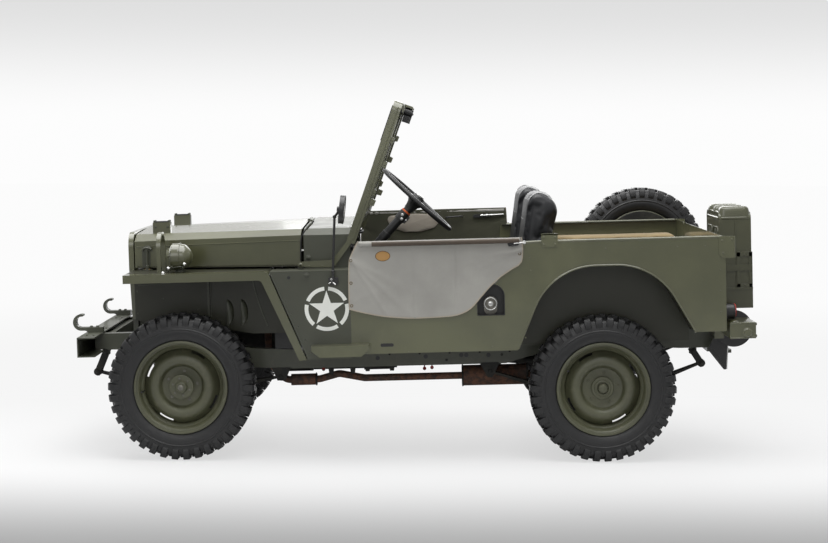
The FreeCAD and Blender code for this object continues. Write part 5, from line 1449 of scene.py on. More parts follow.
def hang_door(body, side, top):
    """A door: canvas, lining, tape, rolled rail with its trim, catch and eyelets."""
    outer = door_sheet(f"{body}_canvas", body, side, top, "canvas", 738.4, 1.0, 1.6)
    lining = door_sheet(f"{body}_lining", body, side, top, "pocket", 736.6, 0.6, 1.0)
    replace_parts(outer, body)
    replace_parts(lining, body)
    door_binding(f"{body}_binding", body, side, top, 738.4)
    # the rail, wrapped in the canvas
    wrap = Shape()
    z = top - 13.5
    y = side * 748.3
    rows = []
    for s in range(878, 1648, 7):
        swell = 11.6 + 0.7 * noise.noise(Vector((s / 30, side, 0.3)))
        if s < 945:
            swell += 1.2 * sin(s / 5.0)
        rows.append([(s, y + swell * cos(a), z + swell * sin(a)) for a in turns(20)])
    wrap.loops(rows)
    roll = wrap.piece(f"{body}_rail_wrap", "canvas", body=body)
    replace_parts(roll, body)
    trim = Shape()
    rows = []
    for s in [939 + 10 * k for k in range(71)]:
        lift = 12.9 + 0.3 * noise.noise(Vector((s / 40, 1, 0)))
        rows.append([(s, y + side * r * cos(a), z + r * sin(a))
                     for r, angles in ((lift, (50, 35, 20, 0, -20, -40, -62, -84)),
                                       (lift - 1.4, (-84, -40, 0, 35, 50)))
                     for a in map(radians, angles)])
    trim.loops(rows)
    trim.piece(f"{body}_rail_trim", "brown_trim", 0.5, body=body)
    hem = Shape()
    # the strap of the catch and its eye
    hem.plate([(1588, 998), (1634, 1002), (1640, 1012), (1636, 1022), (1590, 1024), (1582, 1011)],
              side * 746, side * 751, 6)
    hem.ring((1606, side * 753, 1011), Y, 10, 3.2, 24, 8)
    hem.piece(f"{body}_catch", "black", 0.8, body=body)
    pin = Shape()
    pin.rod((1612, side * 755, 1012), (1668, side * 752, 1016), 3.6, 12)
    pin.ring((1662, side * 753, 1016), Y, 7, 2.4, 20, 8)
    pin.piece(f"{body}_catch_pin", "chrome", 0.3, body=body)
    eyes = Shape()
    for s, level in ((838, 950), (836, 842), (836, 734), (1640, 962)):
        eyes.ring((s, side * (739.6 + 0.9 * door_folds(s, level, top)), level), Y, 6, 1.6, 20, 8)
    eyes.piece(f"{body}_eyelets", "brass", 0.2, body=body)


def door_patch():
    """The oval tan patch on the near door."""
    badge = Shape()
    oval = [(990 + 33 * cos(a), 967 + 22 * sin(a)) for a in turns(36)]
    base = 739.4 + door_folds(990, 967, 1040)
    Shape().prism([(990 + (p[0] - 990) * 1.09, 967 + (p[1] - 967) * 1.12) for p in oval], base - 2,
                  base + 0.8).piece("door_patch_rim", "patch_rim", 0.4, body="door_left")
    badge.prism(oval, base - 1.5, base + 1.6)
    inner = [(990 + (p[0] - 990) * 0.86, 967 + (p[1] - 967) * 0.84) for p in oval]
    badge.prism(inner, base + 1.2, base + 2.4)
    badge.piece("door_patch", "patch", 0.6, body="door_left")


def far_door_fittings():
    """The far door's pocket, handle and latch, on its inner face."""
    edge = [(966, 1078), (1128, 1088), (1280, 1082), (1274, 1040), (1244, 1005), (1166, 985),
            (1076, 985), (1001, 1012)]
    outline = rounded(edge, 26, 6)
    flap = Shape()
    middle = Vector((1128, 1040))
    rows = []
    for share, out in ((1.0, 1.2), (0.94, 4.6), (0.7, 7.5), (0.35, 8.6), (0.05, 8.8)):
        row = []
        for p in outline:
            spot = middle + (Vector(p) - middle) * share
            wave = 3.0 * noise.noise(Vector((spot.x / 45, spot.y / 30, 2)))
            row.append((spot.x, -734.8 + out + wave * min(1, out / 6), spot.y))
        rows.append(row)
    flap.loops(rows)
    pocket = flap.piece("door_right_pocket", "pouch", body="door_right")
    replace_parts(pocket, "door_right")
    bar = Shape()
    bar.tube([(1312, -734, 1064), (1314, -722, 1064), (1322, -716, 1064), (1392, -716, 1068),
              (1400, -722, 1068), (1402, -734, 1068)],
             4.4, 10, 5)
    bar.plate([(1465, 1056), (1565, 1062), (1565, 1080), (1465, 1074)], -SKIN, -729, 7)
    bar.piece("door_right_handle", "black", 0.6, body="door_right")
    latch = Shape()
    latch.rod((1505, -727, 1068), (1637, -731, 1072), 4.2, 12)
    for s in (1511, 1539, 1565):
        latch.turned((s, -729, 1069), X, [(0, 7.4), (9, 7.4), (11, 5)], 14)
    latch.piece("door_right_latch", "chrome", 0.4, body="door_right")


class FIELDCAR_OT_doors(Operator):
    """Hangs the two canvas lower doors on their rails"""

    bl_idname = "fieldcar.doors"
    bl_label = "Canvas doors"

    def execute(self, context):
        hang_door("door_left", 1, 1040)
        hang_door("door_right", -1, 1110)
        door_patch()
        far_door_fittings()
        return {"FINISHED"}


def front_seats():
    """Both front seats with their piping and levers."""
    pad = crowned(SEAT_PAD, 158, 592, 26, 60, 14).piece("seat_left_cushion", "vinyl")
    filled(pad, 14, 700.6)
    back = crowned(SEAT_BACK, 160, 590, 30, 90, 22).piece("seat_left_back", "vinyl")
    filled(back, 14)
    seams = Shape()
    for y in (196, 554):
        line = [
            (1660 + 26 * k / 4 + (8 if k == 4 else 0), y, 850 + 90 * k) for k in range(5)
        ] + [(1722, y, 1252), (1764, y, 1262), (1806, y, 1238)]
        seams.tube(snapped(back, line, 0.6), 1.5, 8, 3)
        line = [(1244, y, 730), (1250, y, 790), (1300, y, 824), (1400, y, 830), (1520, y, 830),
                (1640, y, 830)]
        seams.tube(snapped(pad, line, 0.6), 1.5, 8, 3)
    for level in (925, 1120):
        line = [(1600, 196 + 358 * k / 8, level) for k in range(9)]
        seams.tube(snapped(back, line, 0.2), 1.3, 8, 3)
    for station in (1360, 1480):
        line = [(station, 196 + 358 * k / 8, 850) for k in range(9)]
        seams.tube(snapped(pad, line, 0.2), 1.3, 8, 3)
    piping = seams.piece("seat_left_piping", "vinyl")
    for part in (pad, back):
        other = moved_copy(part, part.name.replace("left", "right"), "chassis", -750)
        for cushion, node in ((part, "seat_left"), (other, "seat_right")):
            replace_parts(cushion, node)
    moved_copy(piping, "seat_right_piping", "chassis", -750)
    levers = Shape()
    for y in (146, -604):
        levers.tube([(1640, y, 838), (1610, y - 8, 842), (1580, y - 14, 866)], 5, 10, 5)
    levers.piece("seat_levers", "black", 0.4)


def benches():
    """The pads on the wheel arches, stitched across."""
    bench = crowned([(1890, 901.5, 10), (2584, 901.5, 10), (2584, 942, 16), (1890, 942, 16)], 530,
                    690, 12, 26, 8)
    bench = bench.piece("bench_left", "tan")
    filled(bench, 8, 900.6)
    stitching = Shape()
    for station in (2060, 2240, 2420):
        line = [(station, 536 + 148 * k / 6, 980) for k in range(7)]
        stitching.tube(snapped(bench, line, 0.2), 1.4, 8, 3)
    ropes = stitching.piece("bench_left_seams", "tan")
    other = moved_copy(bench, "bench_right", "chassis", -1220)
    moved_copy(ropes, "bench_right_seams", "chassis", -1220)
    for part in (bench, other):
        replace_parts(part, "bench_cushions")


class FIELDCAR_OT_seats(Operator):
    """Pads the two front seats and the side benches"""

    bl_idname = "fieldcar.seats"
    bl_label = "Seats"

    def execute(self, context):
        front_seats()
        benches()
        return {"FINISHED"}


# ---- controls ----


def steering():
    """The wheel's hub and spokes, the column's collars and bolts."""
    hub = Shape(HAND)
    hub.turned((0, 0, -66), Z,
               [(0, 25), (14, 26), (34, 32), (52, 46), (60, 50), (68, 48), (72, 34), (78, 31),
                (86, 29), (89, 0)],
               40)
    for angle in (90, 210, 330):
        way = Vector((cos(radians(angle)), sin(radians(angle)), 0))
        across = (-way.y, way.x, 0)
        hub.strip([way * 30 + Vector((0, 0, -2)), way * 110 + Vector((0, 0, -8)),
                   way * 206 + Vector((0, 0, -3))],
                  22, 5, across)
        hub.turned(way * 204, way, [(0, 7), (6, 10), (12, 11.5)], 16)
    hub.piece("steering_hub", "black", 0.6, body="steering_wheel")
    Shape(HAND).turned(
        (0, 0, 21), Z, [(0, 23), (4, 22), (7, 16), (8.4, 0)], 32
    ).piece("horn_button", "chrome", body="steering_wheel")
    collar = Shape(HAND)
    collar.turned((0, 0, -136), Z, [(0, 26), (2, 28), (48, 28), (50, 26)], 28)
    collar.plate(rect(-34, -18, -132, -90), -16, 16, 4)
    collar.turned((0, 0, -260), Z, [(0, 24.5), (36, 24.5), (38, 23)], 28)
    collar.piece("column_collar", "black", 0.8)
    Shape(HAND).turned(
        (0, 0, -86), Z, [(0, 24), (1, 25.4), (8, 25.4), (9, 24)], 32
    ).piece("column_band", "orange")
    pins = Shape(HAND)
    for z, s in ((-104, 6), (-122, -6)):
        pins.bolt((s, 27, z), Y, 8)
        pins.bolt((s, -27, z), (0, -1, 0), 8)
    pins.rod((-26, -22, -112), (-26, 22, -112), 5, 12)
    pins.piece("column_bolts", "chrome", 0.3)


def dash():
    """Dials, switches and plates of the dash."""
    dials, faces, needles = Shape(), Shape(), Shape()
    for y, level, size in (
            (0, 1000, 52), (118, 1012, 30), (118, 952, 30), (-118, 1012, 30), (-118, 952, 30)):
        back = met("cowl", (1100, y, level), (-1, 0, 0)).x
        dials.turned(
            (back, y, level), X, [(-0.4, size + 6), (5, size + 6), (7, size + 3), (7, size)], 36)
        faces.turned((back + 5, y, level), X, [(0, size), (1.4, size), (1.5, 4)], 32)
        for k in range(9):
            a = radians(215 - 250 * k / 8)
            spot = Vector((back + 6.6, y + size * 0.8 * cos(a), level + size * 0.8 * sin(a)))
            needles.strip([spot, spot + Vector((0, size * 0.14 * cos(a), size * 0.14 * sin(a)))],
                          size * 0.05, 0.5, (0, -sin(a), cos(a)), 1)
        needles.strip([(back + 7.4, y + size * 0.14, level - size * 0.14),
                       (back + 7.4, y - size * 0.5, level + size * 0.5)],
                      size * 0.07, 0.6, (0, 0.7, 0.7), 1)
        needles.turned((back + 6.6, y, level), X, [(0, 4), (2, 4), (2.4, 0)], 12)
    back = met("cowl", (1100, 220, 972), (-1, 0, 0)).x
    for y, level in ((210, 1006), (210, 968), (-214, 1000), (-214, 960), (-420, 980)):
        dials.turned((back, y, level), X, [(-0.4, 8), (10, 8), (12, 12), (20, 12), (23, 8)], 18)
    dials.piece("dash_rims", "black", 0.4)
    faces.piece("dash_faces", "dial")
    needles.piece("dash_needles", "black")
    plates = Shape()
    for y, width, level, tall in ((-330, 90, 1000, 50), (-330, 90, 938, 34)):
        back = met("cowl", (1100, y, level), (-1, 0, 0)).x
        plates.plate(rect(y - width / 2, y + width / 2, level - tall / 2, level + tall / 2), back,
                     back + 1.6, 3, "s")
        for dy in (-width / 2 + 5, width / 2 - 5):
            plates.rivet((back + 1.6, y + dy, level), X, 2.6)
    plates.piece("dash_plates", "steel", 0.2)


def levers_and_pedals():
    """The grab handle, gear levers and pedals."""
    handle = Shape()
    back = met("cowl", (1100, -470, 1020), (-1, 0, 0)).x
    handle.tube([(back - 2, -540, 1010), (back + 34, -536, 1012), (back + 42, -470, 1014),
                 (back + 34, -404, 1012), (back - 2, -400, 1010)],
                8, 12)
    for k, (s, y, rise, top, lean) in enumerate(
            ((1010, 10, 330, 1046, 40), (1080, -46, 236, 1100, -8), (1080, -76, 236, 1112, -20))):
        base = top_of("floor", s, y, 700)
        handle.turned(
            (s, y, base), Z, [(0, 34 - 8 * k), (5, 34 - 8 * k), (10, 22 - 4 * k), (26, 12)], 20)
        handle.tube([(s, y, base + 6), (s + 6, y + lean * 0.3, base + rise * 0.5),
                     (top, y + lean, base + rise)],
                    6.4, 10)
        handle.ball((top + 2, y + lean, base + rise + 10), 19, 8)
    handle.tube([(880, 196, 560), (900, 196, 680), (880, 196, 800), (930, 196, 850)], 7, 10)
    for y in (452, 238):
        handle.tube([(800, y, 560), (840, y, 610), (856, y, 660)], 7, 10)
        handle.plate([(846, 646), (858, 640), (884, 694), (872, 700)], y - 30, y + 30, 3)
    handle.tube([(760, 180, 660), (800, 178, 640), (826, 176, 636)], 5, 8)
    handle.plate([(812, 612), (822, 608), (856, 672), (846, 676)], 158, 192, 3)
    handle.piece("controls", "black", 0.5)


def floor_ribs():
    """The tunnel's cover and the ribs of both floors."""
    cover = Shape()
    base = top_of("floor", 1060, 0, 700)
    cover.plate([(930, base), (1210, base), (1196, base + 20), (960, base + 34)], -150, 118, 12)
    for s in (950, 1180):
        for y in (-135, 100):
            cover.bolt((s, y, base + (26 if s < 1000 else 20)), Z, 5)
    for y in range(-640, 700, 92):
        if abs(y) > 150:
            cover.strip([(900, y, base + 2.4), (1620, y, base + 2.4)], 16, 5, Y, 1)
    for k in range(13):
        y = -492 + 82 * k
        rear = top_of("floor", 2200, y * 0.98, 700)
        cover.strip([(1680, y * 0.98, rear + 2.4), (2596, y * 0.98, rear + 2.4)], 18, 5, Y, 1)
    # the inner finish is painted shade: the body's olive at half brightness
    cover.piece("floor_ribs", "inner", 1)


class FIELDCAR_OT_controls(Operator):
    """Adds the steering hub, column collars, dials, levers, pedals and grab handle"""

    bl_idname = "fieldcar.controls"
    bl_label = "Controls"

    def execute(self, context):
        steering()
        dash()
        levers_and_pedals()
        floor_ribs()
        return {"FINISHED"}


# ---- rear ----


def tiers(shape, s, y, rows, radius):
    """A lid from rounded outlines at several levels, each drawn in by so much."""
    loops = []
    for level, inset in rows:
        corners = [(s[0] + inset, y[0] + inset), (s[1] - inset, y[0] + inset),
                   (s[1] - inset, y[1] - inset), (s[0] + inset, y[1] - inset)]
        loops.append([(a, b, level) for a, b in rounded(corners, radius, 6)])
    shape.loops(loops)


def can_top():
    """The can's stepped lid, three grips, cap and pressed panels."""
    lid = Shape()
    span, reach = (2637, 2799), (97, 448)
    tiers(lid, span, reach, [(1080, 2), (1083, -1), (1090, -1), (1093, 2), (1112, 5), (1119, 14)],
          30)
    for low, high in ((98, 176), (238, 306), (368, 447)):
        tiers(lid, (2643, 2795), (low, high),
              [(1088, 0), (1118, 2), (1134, 6), (1141, 13), (1144, 24)], 24)
    lid.turned((2700, 337, 1118), Z, [(0, 25), (10, 25), (12, 22), (18, 20), (20, 0)], 28)
    lid.block((2680, 2720), (312, 318), (1110, 1140))
    # pressed panels on the broad sides and a weld along the ends
    for s in (2638.6, 2798.4):
        for low, high in ((130, 262), (284, 416)):
            edge = rounded(rect(low, high, 770, 1040), 26, 6)
            lid.strip([(s, a, b) for a, b in closed(edge)], 4, 8, X, 1)
    for y in (99.5, 445.5):
        lid.block((2717, 2720), (y - 1.6, y + 1.6), (742, 1082))
    lid.piece("can_lid", "can", 1.2, body="tailgate")


def can_holder():
    """The holder's posts, the strap and its buckle."""
    posts = Shape()
    for y, out in ((449, 1), (96, -1)):
        low, high = sorted((y, y - out * 4))
        for s in ((2724, 2741), (2784, 2801)):
            posts.block(s, (low, high), (700, 918))
        posts.plate(rect(2724, 2801, 896, 920), low, high, 3)
        posts.plate(rect(2724, 2801, 744, 762), low, high, 3)
        far = y - out * 44
        posts.block((2797, 2801), tuple(sorted((y, far))), (742, 918))
        for level in (756, 906):
            posts.rivet((2762, y, level), (0, out, 0), 5)
    rim = rounded(rect(2619, 2801, 94, 451), 5, 3)
    posts.strip([(a, b, 739) for a, b in closed(rim)], 10, 3.4, Z, 1)
    posts.piece("can_posts", "can", 0.6, body="tailgate")
    strap = Shape()
    line = rounded(rect(2619, 2799.5, 95, 450), 6, 4)
    strap.strip([(a, b, 842) for a, b in closed(line)], 30, 2.4, Z, 1)
    strap.piece("can_strap", "can", 0.4, body="tailgate", slot="canvas")
    buckle = Shape()
    for y in (246, 296):
        buckle.block((2799, 2802), (y - 3, y + 3), (822, 862))
    for level in (824, 860):
        buckle.block((2799, 2802), (246, 296), (level - 3, level + 3))
    buckle.piece("can_buckle", "steel", 0.4, body="tailgate")


def tailgate_beads():
    """Pressed beads and hinge plates on the tailgate."""
    gate = Shape()
    for level in (668, 816, 964):
        gate.tube([(2617.4, -448, level), (2617.4, -180, level), (2617.4, 80, level)], 4.5, 8, 3)
    for side in (1, -1):
        gate.plate(rect(2617, 2622, 930, 996), side * 434, side * 462, 2)
        gate.bolt((2622, side * 448, 944), X, 7)
        gate.bolt((2622, side * 448, 982), X, 7)
    gate.piece("tailgate_beads", "olive", 0.4, body="tailgate")


class FIELDCAR_OT_fuel_can(Operator):
    """Adds the can's lid, seams, straps and the posts of its holder"""

    bl_idname = "fieldcar.fuel_can"
    bl_label = "Fuel can"

    def execute(self, context):
        can_top()
        can_holder()
        tailgate_beads()
        return {"FINISHED"}


def rear_lamps():
    """Rear lamps, the trailer's socket and the plates under the tub."""
    lens, rims = Shape(), Shape()
    for side in (1, -1):
        spot = (2671, side * 620, 648)
        lens.turned(spot, X, [(0, 33), (3, 32), (6, 24), (7.6, 0)], 36)
        rims.ring((2671, side * 620, 648), X, 35.5, 3.2, 44, 8)
        rims.turned((2630, side * 620, 648), X, [(0, 39.4), (5, 39.4)], 40)
        for y in (600, 640):
            rims.bolt((2617.3, side * y, 604), X, 6)
    # the socket for a trailer's lights, and the round plate behind the bumper
    rims.turned((2655, 520, 640), X, [(0, 31), (4, 33), (30, 33), (36, 30), (36, 0)], 36)
    rims.turned((2700, 470.6, 545), Y, [(0, 88), (1.4, 91), (5, 91), (6, 86), (6, 0)], 64)
    # a triangular plate that hangs from the bumper's stay
    rims.plate([(2572, 442), (2604, 500), (2672, 500), (2662, 340), (2650, 340)], 456, 459, 4)
    rims.strip([(2590, 457, 458), (2640, 457, 380), (2656, 457, 352)], 9, 8, Y)
    rims.block((2618, 2652), (456, 482), (498, 506))
    rims.piece("rear_black_parts", "black", 0.5)
    lens.piece("tail_lenses", "red_lens")
    red = Shape()
    red.turned((2691, 520, 640), X, [(0, 31), (5, 33.5), (9, 31), (9, 0)], 36)
    red.turned((2618, 520, 596), X, [(0, 9), (22, 9), (24, 0)], 16)
    red.piece("socket_ring", "red_paint", 0.3)
    bright = Shape()
    bright.strip([(2674, 457.5, 498), (2669, 457.5, 420), (2664, 457.5, 342)], 7, 5, Y)
    bright.turned((2617.4, 520, 676), X, [(0, 9), (28, 9), (30, 0)], 16)
    bright.piece("hanger_edge", "chrome", 0.3)


def rear_bolts():
    """Bolts and beads of the bumperettes and the tow hook."""
    bars = Shape()
    for side in (1, -1):
        bars.turned((2725, side * 690, 552), (0, side, 0),
                    [(0, 24), (3, 24), (5, 19), (13, 19), (15, 16), (15, 0)], 30)
        bars.turned((2668, side * 652, 598), Z, [(0, 20), (4, 20), (9, 14), (11, 0)], 24)
        for level in (590, 533):
            bars.bolt((2765, side * 676, level), X, 10)
            bars.bolt((2765, side * 500, level), X, 8)
        bars.tube(
            [(2642, side * 688, 596.5), (2700, side * 688, 596.5), (2763, side * 688, 596.5)], 4.4,
            10, 3)
        bars.tube(
            [(2642, side * 688, 526.5), (2700, side * 688, 526.5), (2763, side * 688, 526.5)], 4.4,
            10, 3)
    for y in (-48, 48):
        for level in (396, 510):
            bars.bolt((2648, y, level), X, 11)
    bars.rod((2752, 0, 356), (2752, 0, 432), 7, 14)
    bars.bolt((2752, 0, 424), Z, 11)
    bars.ring((2726, 0, 392), X, 17, 4, 28, 8)
    bars.piece("rear_bolts", "olive", 0.5)


def spare_backing():
    """A dark dish with five bolts that fills the inside of the spare wheel's rim."""
    inner = Shape()
    inner.turned((2415, -772, 846), Y,
                 [(0, 196), (28, 222), (31, 220), (33, 150), (8, 60), (14, 54), (14, 0)], 64)
    for k in range(5):
        a = pi * (0.3 + 0.4 * k)
        inner.bolt((2415 + 78 * cos(a), -768, 846 + 78 * sin(a)), Y, 10)
    inner.piece("spare_backing", "underbody", 0.6)


class FIELDCAR_OT_rear_trim(Operator):
    """Adds the rear lamps' lenses, the socket, bumper bolts and tow hook pins"""

    bl_idname = "fieldcar.rear_trim"
    bl_label = "Rear trim"

    def execute(self, context):
        rear_lamps()
        rear_bolts()
        spare_backing()
        return {"FINISHED"}


# ---- underneath ----


def springs():
    """Clips and shackle bolts of the springs, straps of the axles."""
    clips, ground = Shape(), Shape(GROUND)
    for node, stations, eyes in (
            ("springs_front", (-330, -190, 190, 320), ((-463, 395), (-420, 493), (456, 346))),
            ("springs_rear", (1700, 1860, 2200, 2390), ((1500, 347), (2554, 362), (2516, 423)))):
        for side in (1, -1):
            y = side * 349.5
            for s in stations:
                top = top_of(node, s, y)
                low = met(node, (s, y, 0), Z).z
                clips.block((s - 10, s + 10), (y - 25.5, y + 25.5), (top, top + 3))
                clips.block((s - 10, s + 10), (y - 25.5, y + 25.5), (low - 3, low))
                for out in (-24, 24):
                    clips.block(
                        (s - 10, s + 10), (y + out - 1.5, y + out + 1.5), (low - 3, top + 3))
            for s, level in eyes:
                for out in (1, -1):
                    clips.bolt((s, y + out * 28.5, level), (0, out, 0), 12)
    for axle in (0, (AXLE_X - REAR_AXLE_X) / MM):
        level = AXLE_Z / MM
        for side in (1, -1):
            for off in (-15, 15):
                y = side * 349.5 + off
                ground.tube(
                    [(axle - 46, y, level - 92), (axle - 46, y, level), (axle - 33, y, level + 32),
                     (axle, y, level + 45), (axle + 33, y, level + 32), (axle + 46, y, level),
                     (axle + 46, y, level - 92)],
                    5.5, 8)
                for s in (-46, 46):
                    ground.bolt((axle + s, y, level - 84), (0, 0, -1), 8)
            ground.turned((axle + 60, side * 240, level - 14), (0.96, 0, 0.28),
                          [(0, 10), (26, 10), (28, 0)], 16)
    clips.piece("spring_clips", "underbody", 0.4)
    ground.piece("axle_straps", "underbody")


def rails():
    """Painted shade for holes in the rails and the tub's side, and brackets and clamps along the
    frame's rails.
    """
    rail = Shape()
    holes = Shape()
    face = side_of("frame", 1420, 430)
    # painted shade: thin black discs on the rail and a black slot on the tub's side stand for the
    # dark of holes
    for s, level in ((1358, 433), (1383, 432), (1494, 430), (1180, 430), (940, 428)):
        holes.turned((s, face, level), Y, [(0.2, 11), (0.8, 10.4), (0.9, 0)], 20)
    holes.prism(rounded(rect(968, 1031, 533, 549), 7.5, 5), 735.1, 735.8)
    holes.both().piece("rail_hole_shade", "black")
    rail.plate([(1447, 392), (1551, 392), (1510, 316), (1488, 316)], face - 8, face - 3, 6)
    for s, low in ((706, 350), (814, 352), (888, 362), (1010, 362)):
        rail.plate(
            [(s - 16, 396), (s + 16, 396), (s + 10, low), (s - 10, low)], face - 10, face - 5, 3)
    for s, level in ((1499, 352), (706, 372), (814, 374), (1284, 410), (1560, 430)):
        rail.bolt((s, face - 3, level), Y, 10)
    for k in range(7):
        rail.rivet((700 + 150 * k, face, 446), Y, 6)
    rail.both()
    for s in (1364, 1688):
        rail.ring((s, 264, 314), X, 52, 4, 40, 8)
    rail.ring((624, 264, 314), X, 29, 4, 28, 8)
    rail.block((1538, 1558), (262, 266), (362, 400))
    rail.bolt((1548, 268, 372), Y, 8)
    rail.piece("rail_fittings", "underbody", 0.4)
    red = Shape()
    for s, level in ((657, 355), (1172, 346), (1210, 350)):
        red.turned((s, 206, level), Y, [(0, 9), (8, 9), (10, 5)], 14)
        red.rod((s, 206, level), (s, 200, 404), 3, 8)
    red.piece("red_tags", "red_paint", 0.3)


class FIELDCAR_OT_underneath(Operator):
    """Adds spring clips, axle straps, shackle bolts, exhaust clamps and rail details"""

    bl_idname = "fieldcar.underneath"
    bl_label = "Underneath"

    def execute(self, context):
        springs()
        rails()
        return {"FINISHED"}


# ---- the settings a user would change ----


def colour_setting(name, description, red, green, blue):
    return bpy.props.FloatVectorProperty(name=name, description=description, subtype="COLOR",
                                         size=3, min=0, max=1, default=tone(red, green, blue))


class CarColours(PropertyGroup):
    """Colours of the car's finishes."""

    olive: colour_setting("Body", "Paint on the body panels", 82, 83, 57)
    dark_olive: colour_setting("Cowl", "Paint on the cowl and frame", 62, 64, 51)
    wheel: colour_setting("Wheels", "Paint on the wheels", 76, 77, 58)
    canvas: colour_setting("Door canvas", "Cloth of the lower doors", 168, 166, 160)
    seat: colour_setting("Seats", "Vinyl of the two front seats", 24, 25, 28)
    rubber: colour_setting("Rubber", "Tyres and pads", 26, 26, 27)


class CarSizes(PropertyGroup):
    """Sizes of the tread, the lamps and the stage."""

    lugs: bpy.props.IntProperty(
        name="Lugs", description="Tread lugs round one shoulder", default=38, min=20, max=70)
    lug_depth: bpy.props.FloatProperty(
        name="Lug depth", description="Height of a lug over the casing", default=0.014,
        unit="LENGTH", min=0.004, max=0.03)
    lens: bpy.props.FloatProperty(name="Lens", description="Focal length of the camera",
                                  default=69.47, unit="CAMERA", min=10, max=300)
    light: bpy.props.FloatProperty(
        name="Light", description="Level of the soft light over the car", default=1.0, min=0.1,
        max=4, subtype="FACTOR")


# ---- stage ----


def aim(made, way, roll=0.0):
    made.rotation_mode = "QUATERNION"
    made.rotation_quaternion = way.to_track_quat("-Z", "Y")
    made.rotation_quaternion @= Matrix.Rotation(roll, 3, "Z").to_quaternion()


def soft_box(name, place, target, size, power):
    """A rectangular lamp that looks at a point."""
    lamp = bpy.data.lights.new(name, "AREA")
    lamp.shape = "RECTANGLE"
    lamp.size, lamp.size_y = size
    lamp.energy = power
    made = placed(name, lamp)
    made.location = place
    way = Vector(target) - Vector(place)
    aim(made, way)
    return made


def make_floor_material():
    g = Coat("studio_floor", Roughness=0.6, Specular_IOR_Level=0.2)
    own = g.own()
    along = g.node("SeparateXYZ", None, {0: own}, out=1)
    # painted shade: a band of floor from 0.8 m to 2.5 m out towards the camera is darker, back to
    # pale from 3.6 m to 6 m, as if the light fell off there
    ahead = along.rise(0.8, 2.5) * (1 - along.rise(3.6, 6.0))
    grain = g.noise(0.6).rise(0.2, 0.8) * 0.04
    pale = g.mix(ahead + grain, (0.84, 0.84, 0.84), (0.36, 0.36, 0.36))
    g.feed("Base Color", pale)
    reach = g.node("VectorMath", {"operation": "LENGTH"}, {0: own}, out=1)
    # what the camera sees of the floor keeps its shadows at half depth and fades to white
    tint = g.mix(reach.rise(4.0, 8.0), g.mix(ahead, (0.92, 0.92, 0.92), (0.34, 0.34, 0.34)),
                 (0.97, 0.97, 0.97))
    glow = g.node("Emission", None, {"Color": tint, "Strength": 1.0})
    # painted light: far out and behind the car the glow takes over wholly and paints out the car's
    # shadow there
    far = reach.rise(4.0, 8.0).most((along * -1).rise(-0.5, 1.2))
    seen = g.node("LightPath", out=0) * (0.68 + far * 0.32)
    blend = g.node("MixShader", None, {0: seen, 1: Wire(g, g.shader.outputs[0]), 2: glow})
    out = g.tree.nodes["Material Output"]
    g.link(out.inputs["Surface"], blend)
    return g.material


def make_world():
    """Even light for the car, a pale wall behind it for what the camera and glass see."""
    world = bpy.data.worlds.new("studio_light")
    bpy.context.scene.world = world
    world.use_nodes = True
    nodes = world.node_tree.nodes
    nodes.clear()
    g = Graph(world.node_tree)
    path = nodes.new("ShaderNodeLightPath")
    camera, through, mirrored = (
        Wire(g, path.outputs[f"Is {kind} Ray"]) for kind in ("Camera", "Transmission", "Glossy"))
    up = g.node("SeparateXYZ", None, {0: g.node("TexCoord", out="Generated")}, out=2)
    fall = g.node(
        "MapRange", {"interpolation_type": "SMOOTHSTEP"},
        {"Value": up, "From Min": 0.005, "From Max": 0.085, "To Min": 0.98, "To Max": 0.74})
    room = g.node("Background", None, {"Color": (0.78, 0.80, 0.82), "Strength": 0.36})
    wall = g.node("Background", None, {"Color": fall, "Strength": 1.0})
    pick = g.node("MixShader", None, {0: camera.most(through).most(mirrored), 1: room, 2: wall})
    g.link(nodes.new("ShaderNodeOutputWorld").inputs[0], pick)


class FIELDCAR_OT_stage(Operator):
    """Adds the floor, the lamps and the camera"""

    bl_idname = "fieldcar.stage"
    bl_label = "Stage"

    def execute(self, context):
        sizes = context.scene.car_sizes
        floor = bpy.data.meshes.new("floor")
        edge = [(40 * cos(a), 40 * sin(a), -0.0005) for a in turns(64)]
        floor.from_pydata(edge, [], [tuple(range(64))])
        floor.materials.append(make_floor_material())
        placed("studio_floor", floor)
        make_world()
        level = sizes.light
        soft_box("lamp_over", (0.4, 0.6, 5.2), (0, 0, 0.6), (7.0, 4.4), 430 * level)
        soft_box("lamp_side", (1.0, 7.0, 3.6), (0, 0, 0.7), (5.0, 2.6), 75 * level)
        soft_box("lamp_far", (-1.0, -6.5, 3.4), (0, 0, 0.8), (5.0, 2.6), 140 * level)
        camera = bpy.data.cameras.new("camera")
        camera.sensor_width = 36
        camera.lens = sizes.lens
        camera.clip_end = 200
        made = placed("camera", camera)
        camera.shift_x = 0.0
        camera.shift_y = SHIFT_UP
        made.location = EYE
        look = Vector((sin(SWING), -cos(SWING) * cos(PITCH), -sin(PITCH)))
        aim(made, look, ROLL)
        context.scene.camera = made
        context.scene.view_settings.view_transform = "Standard"
        return {"FINISHED"}


EYE = (AXLE_X - 1.177, 8.304, 1.594)
PITCH = 0.05735
SWING = 0.00754
ROLL = 0.0031
SHIFT_UP = -0.06


class FIELDCAR_OT_finishes(Operator):
    """Gives the frame's own parts their finishes and soft edges"""

    bl_idname = "fieldcar.finishes"
    bl_label = "Finishes"

    def execute(self, context):
        chosen = {node: key for key, nodes in NODE_FINISH.items() for node in nodes.split()}
        for name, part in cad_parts.items():
            coat, width = chosen.get(name, ("olive", 1.5))
            part.data.materials.clear()
            part.data.materials.append(finish(coat))
            part.data.shade_smooth()
            part.data.set_sharp_from_angle(angle=radians(30))
            if width:
                soften(part, width)
        return {"FINISHED"}


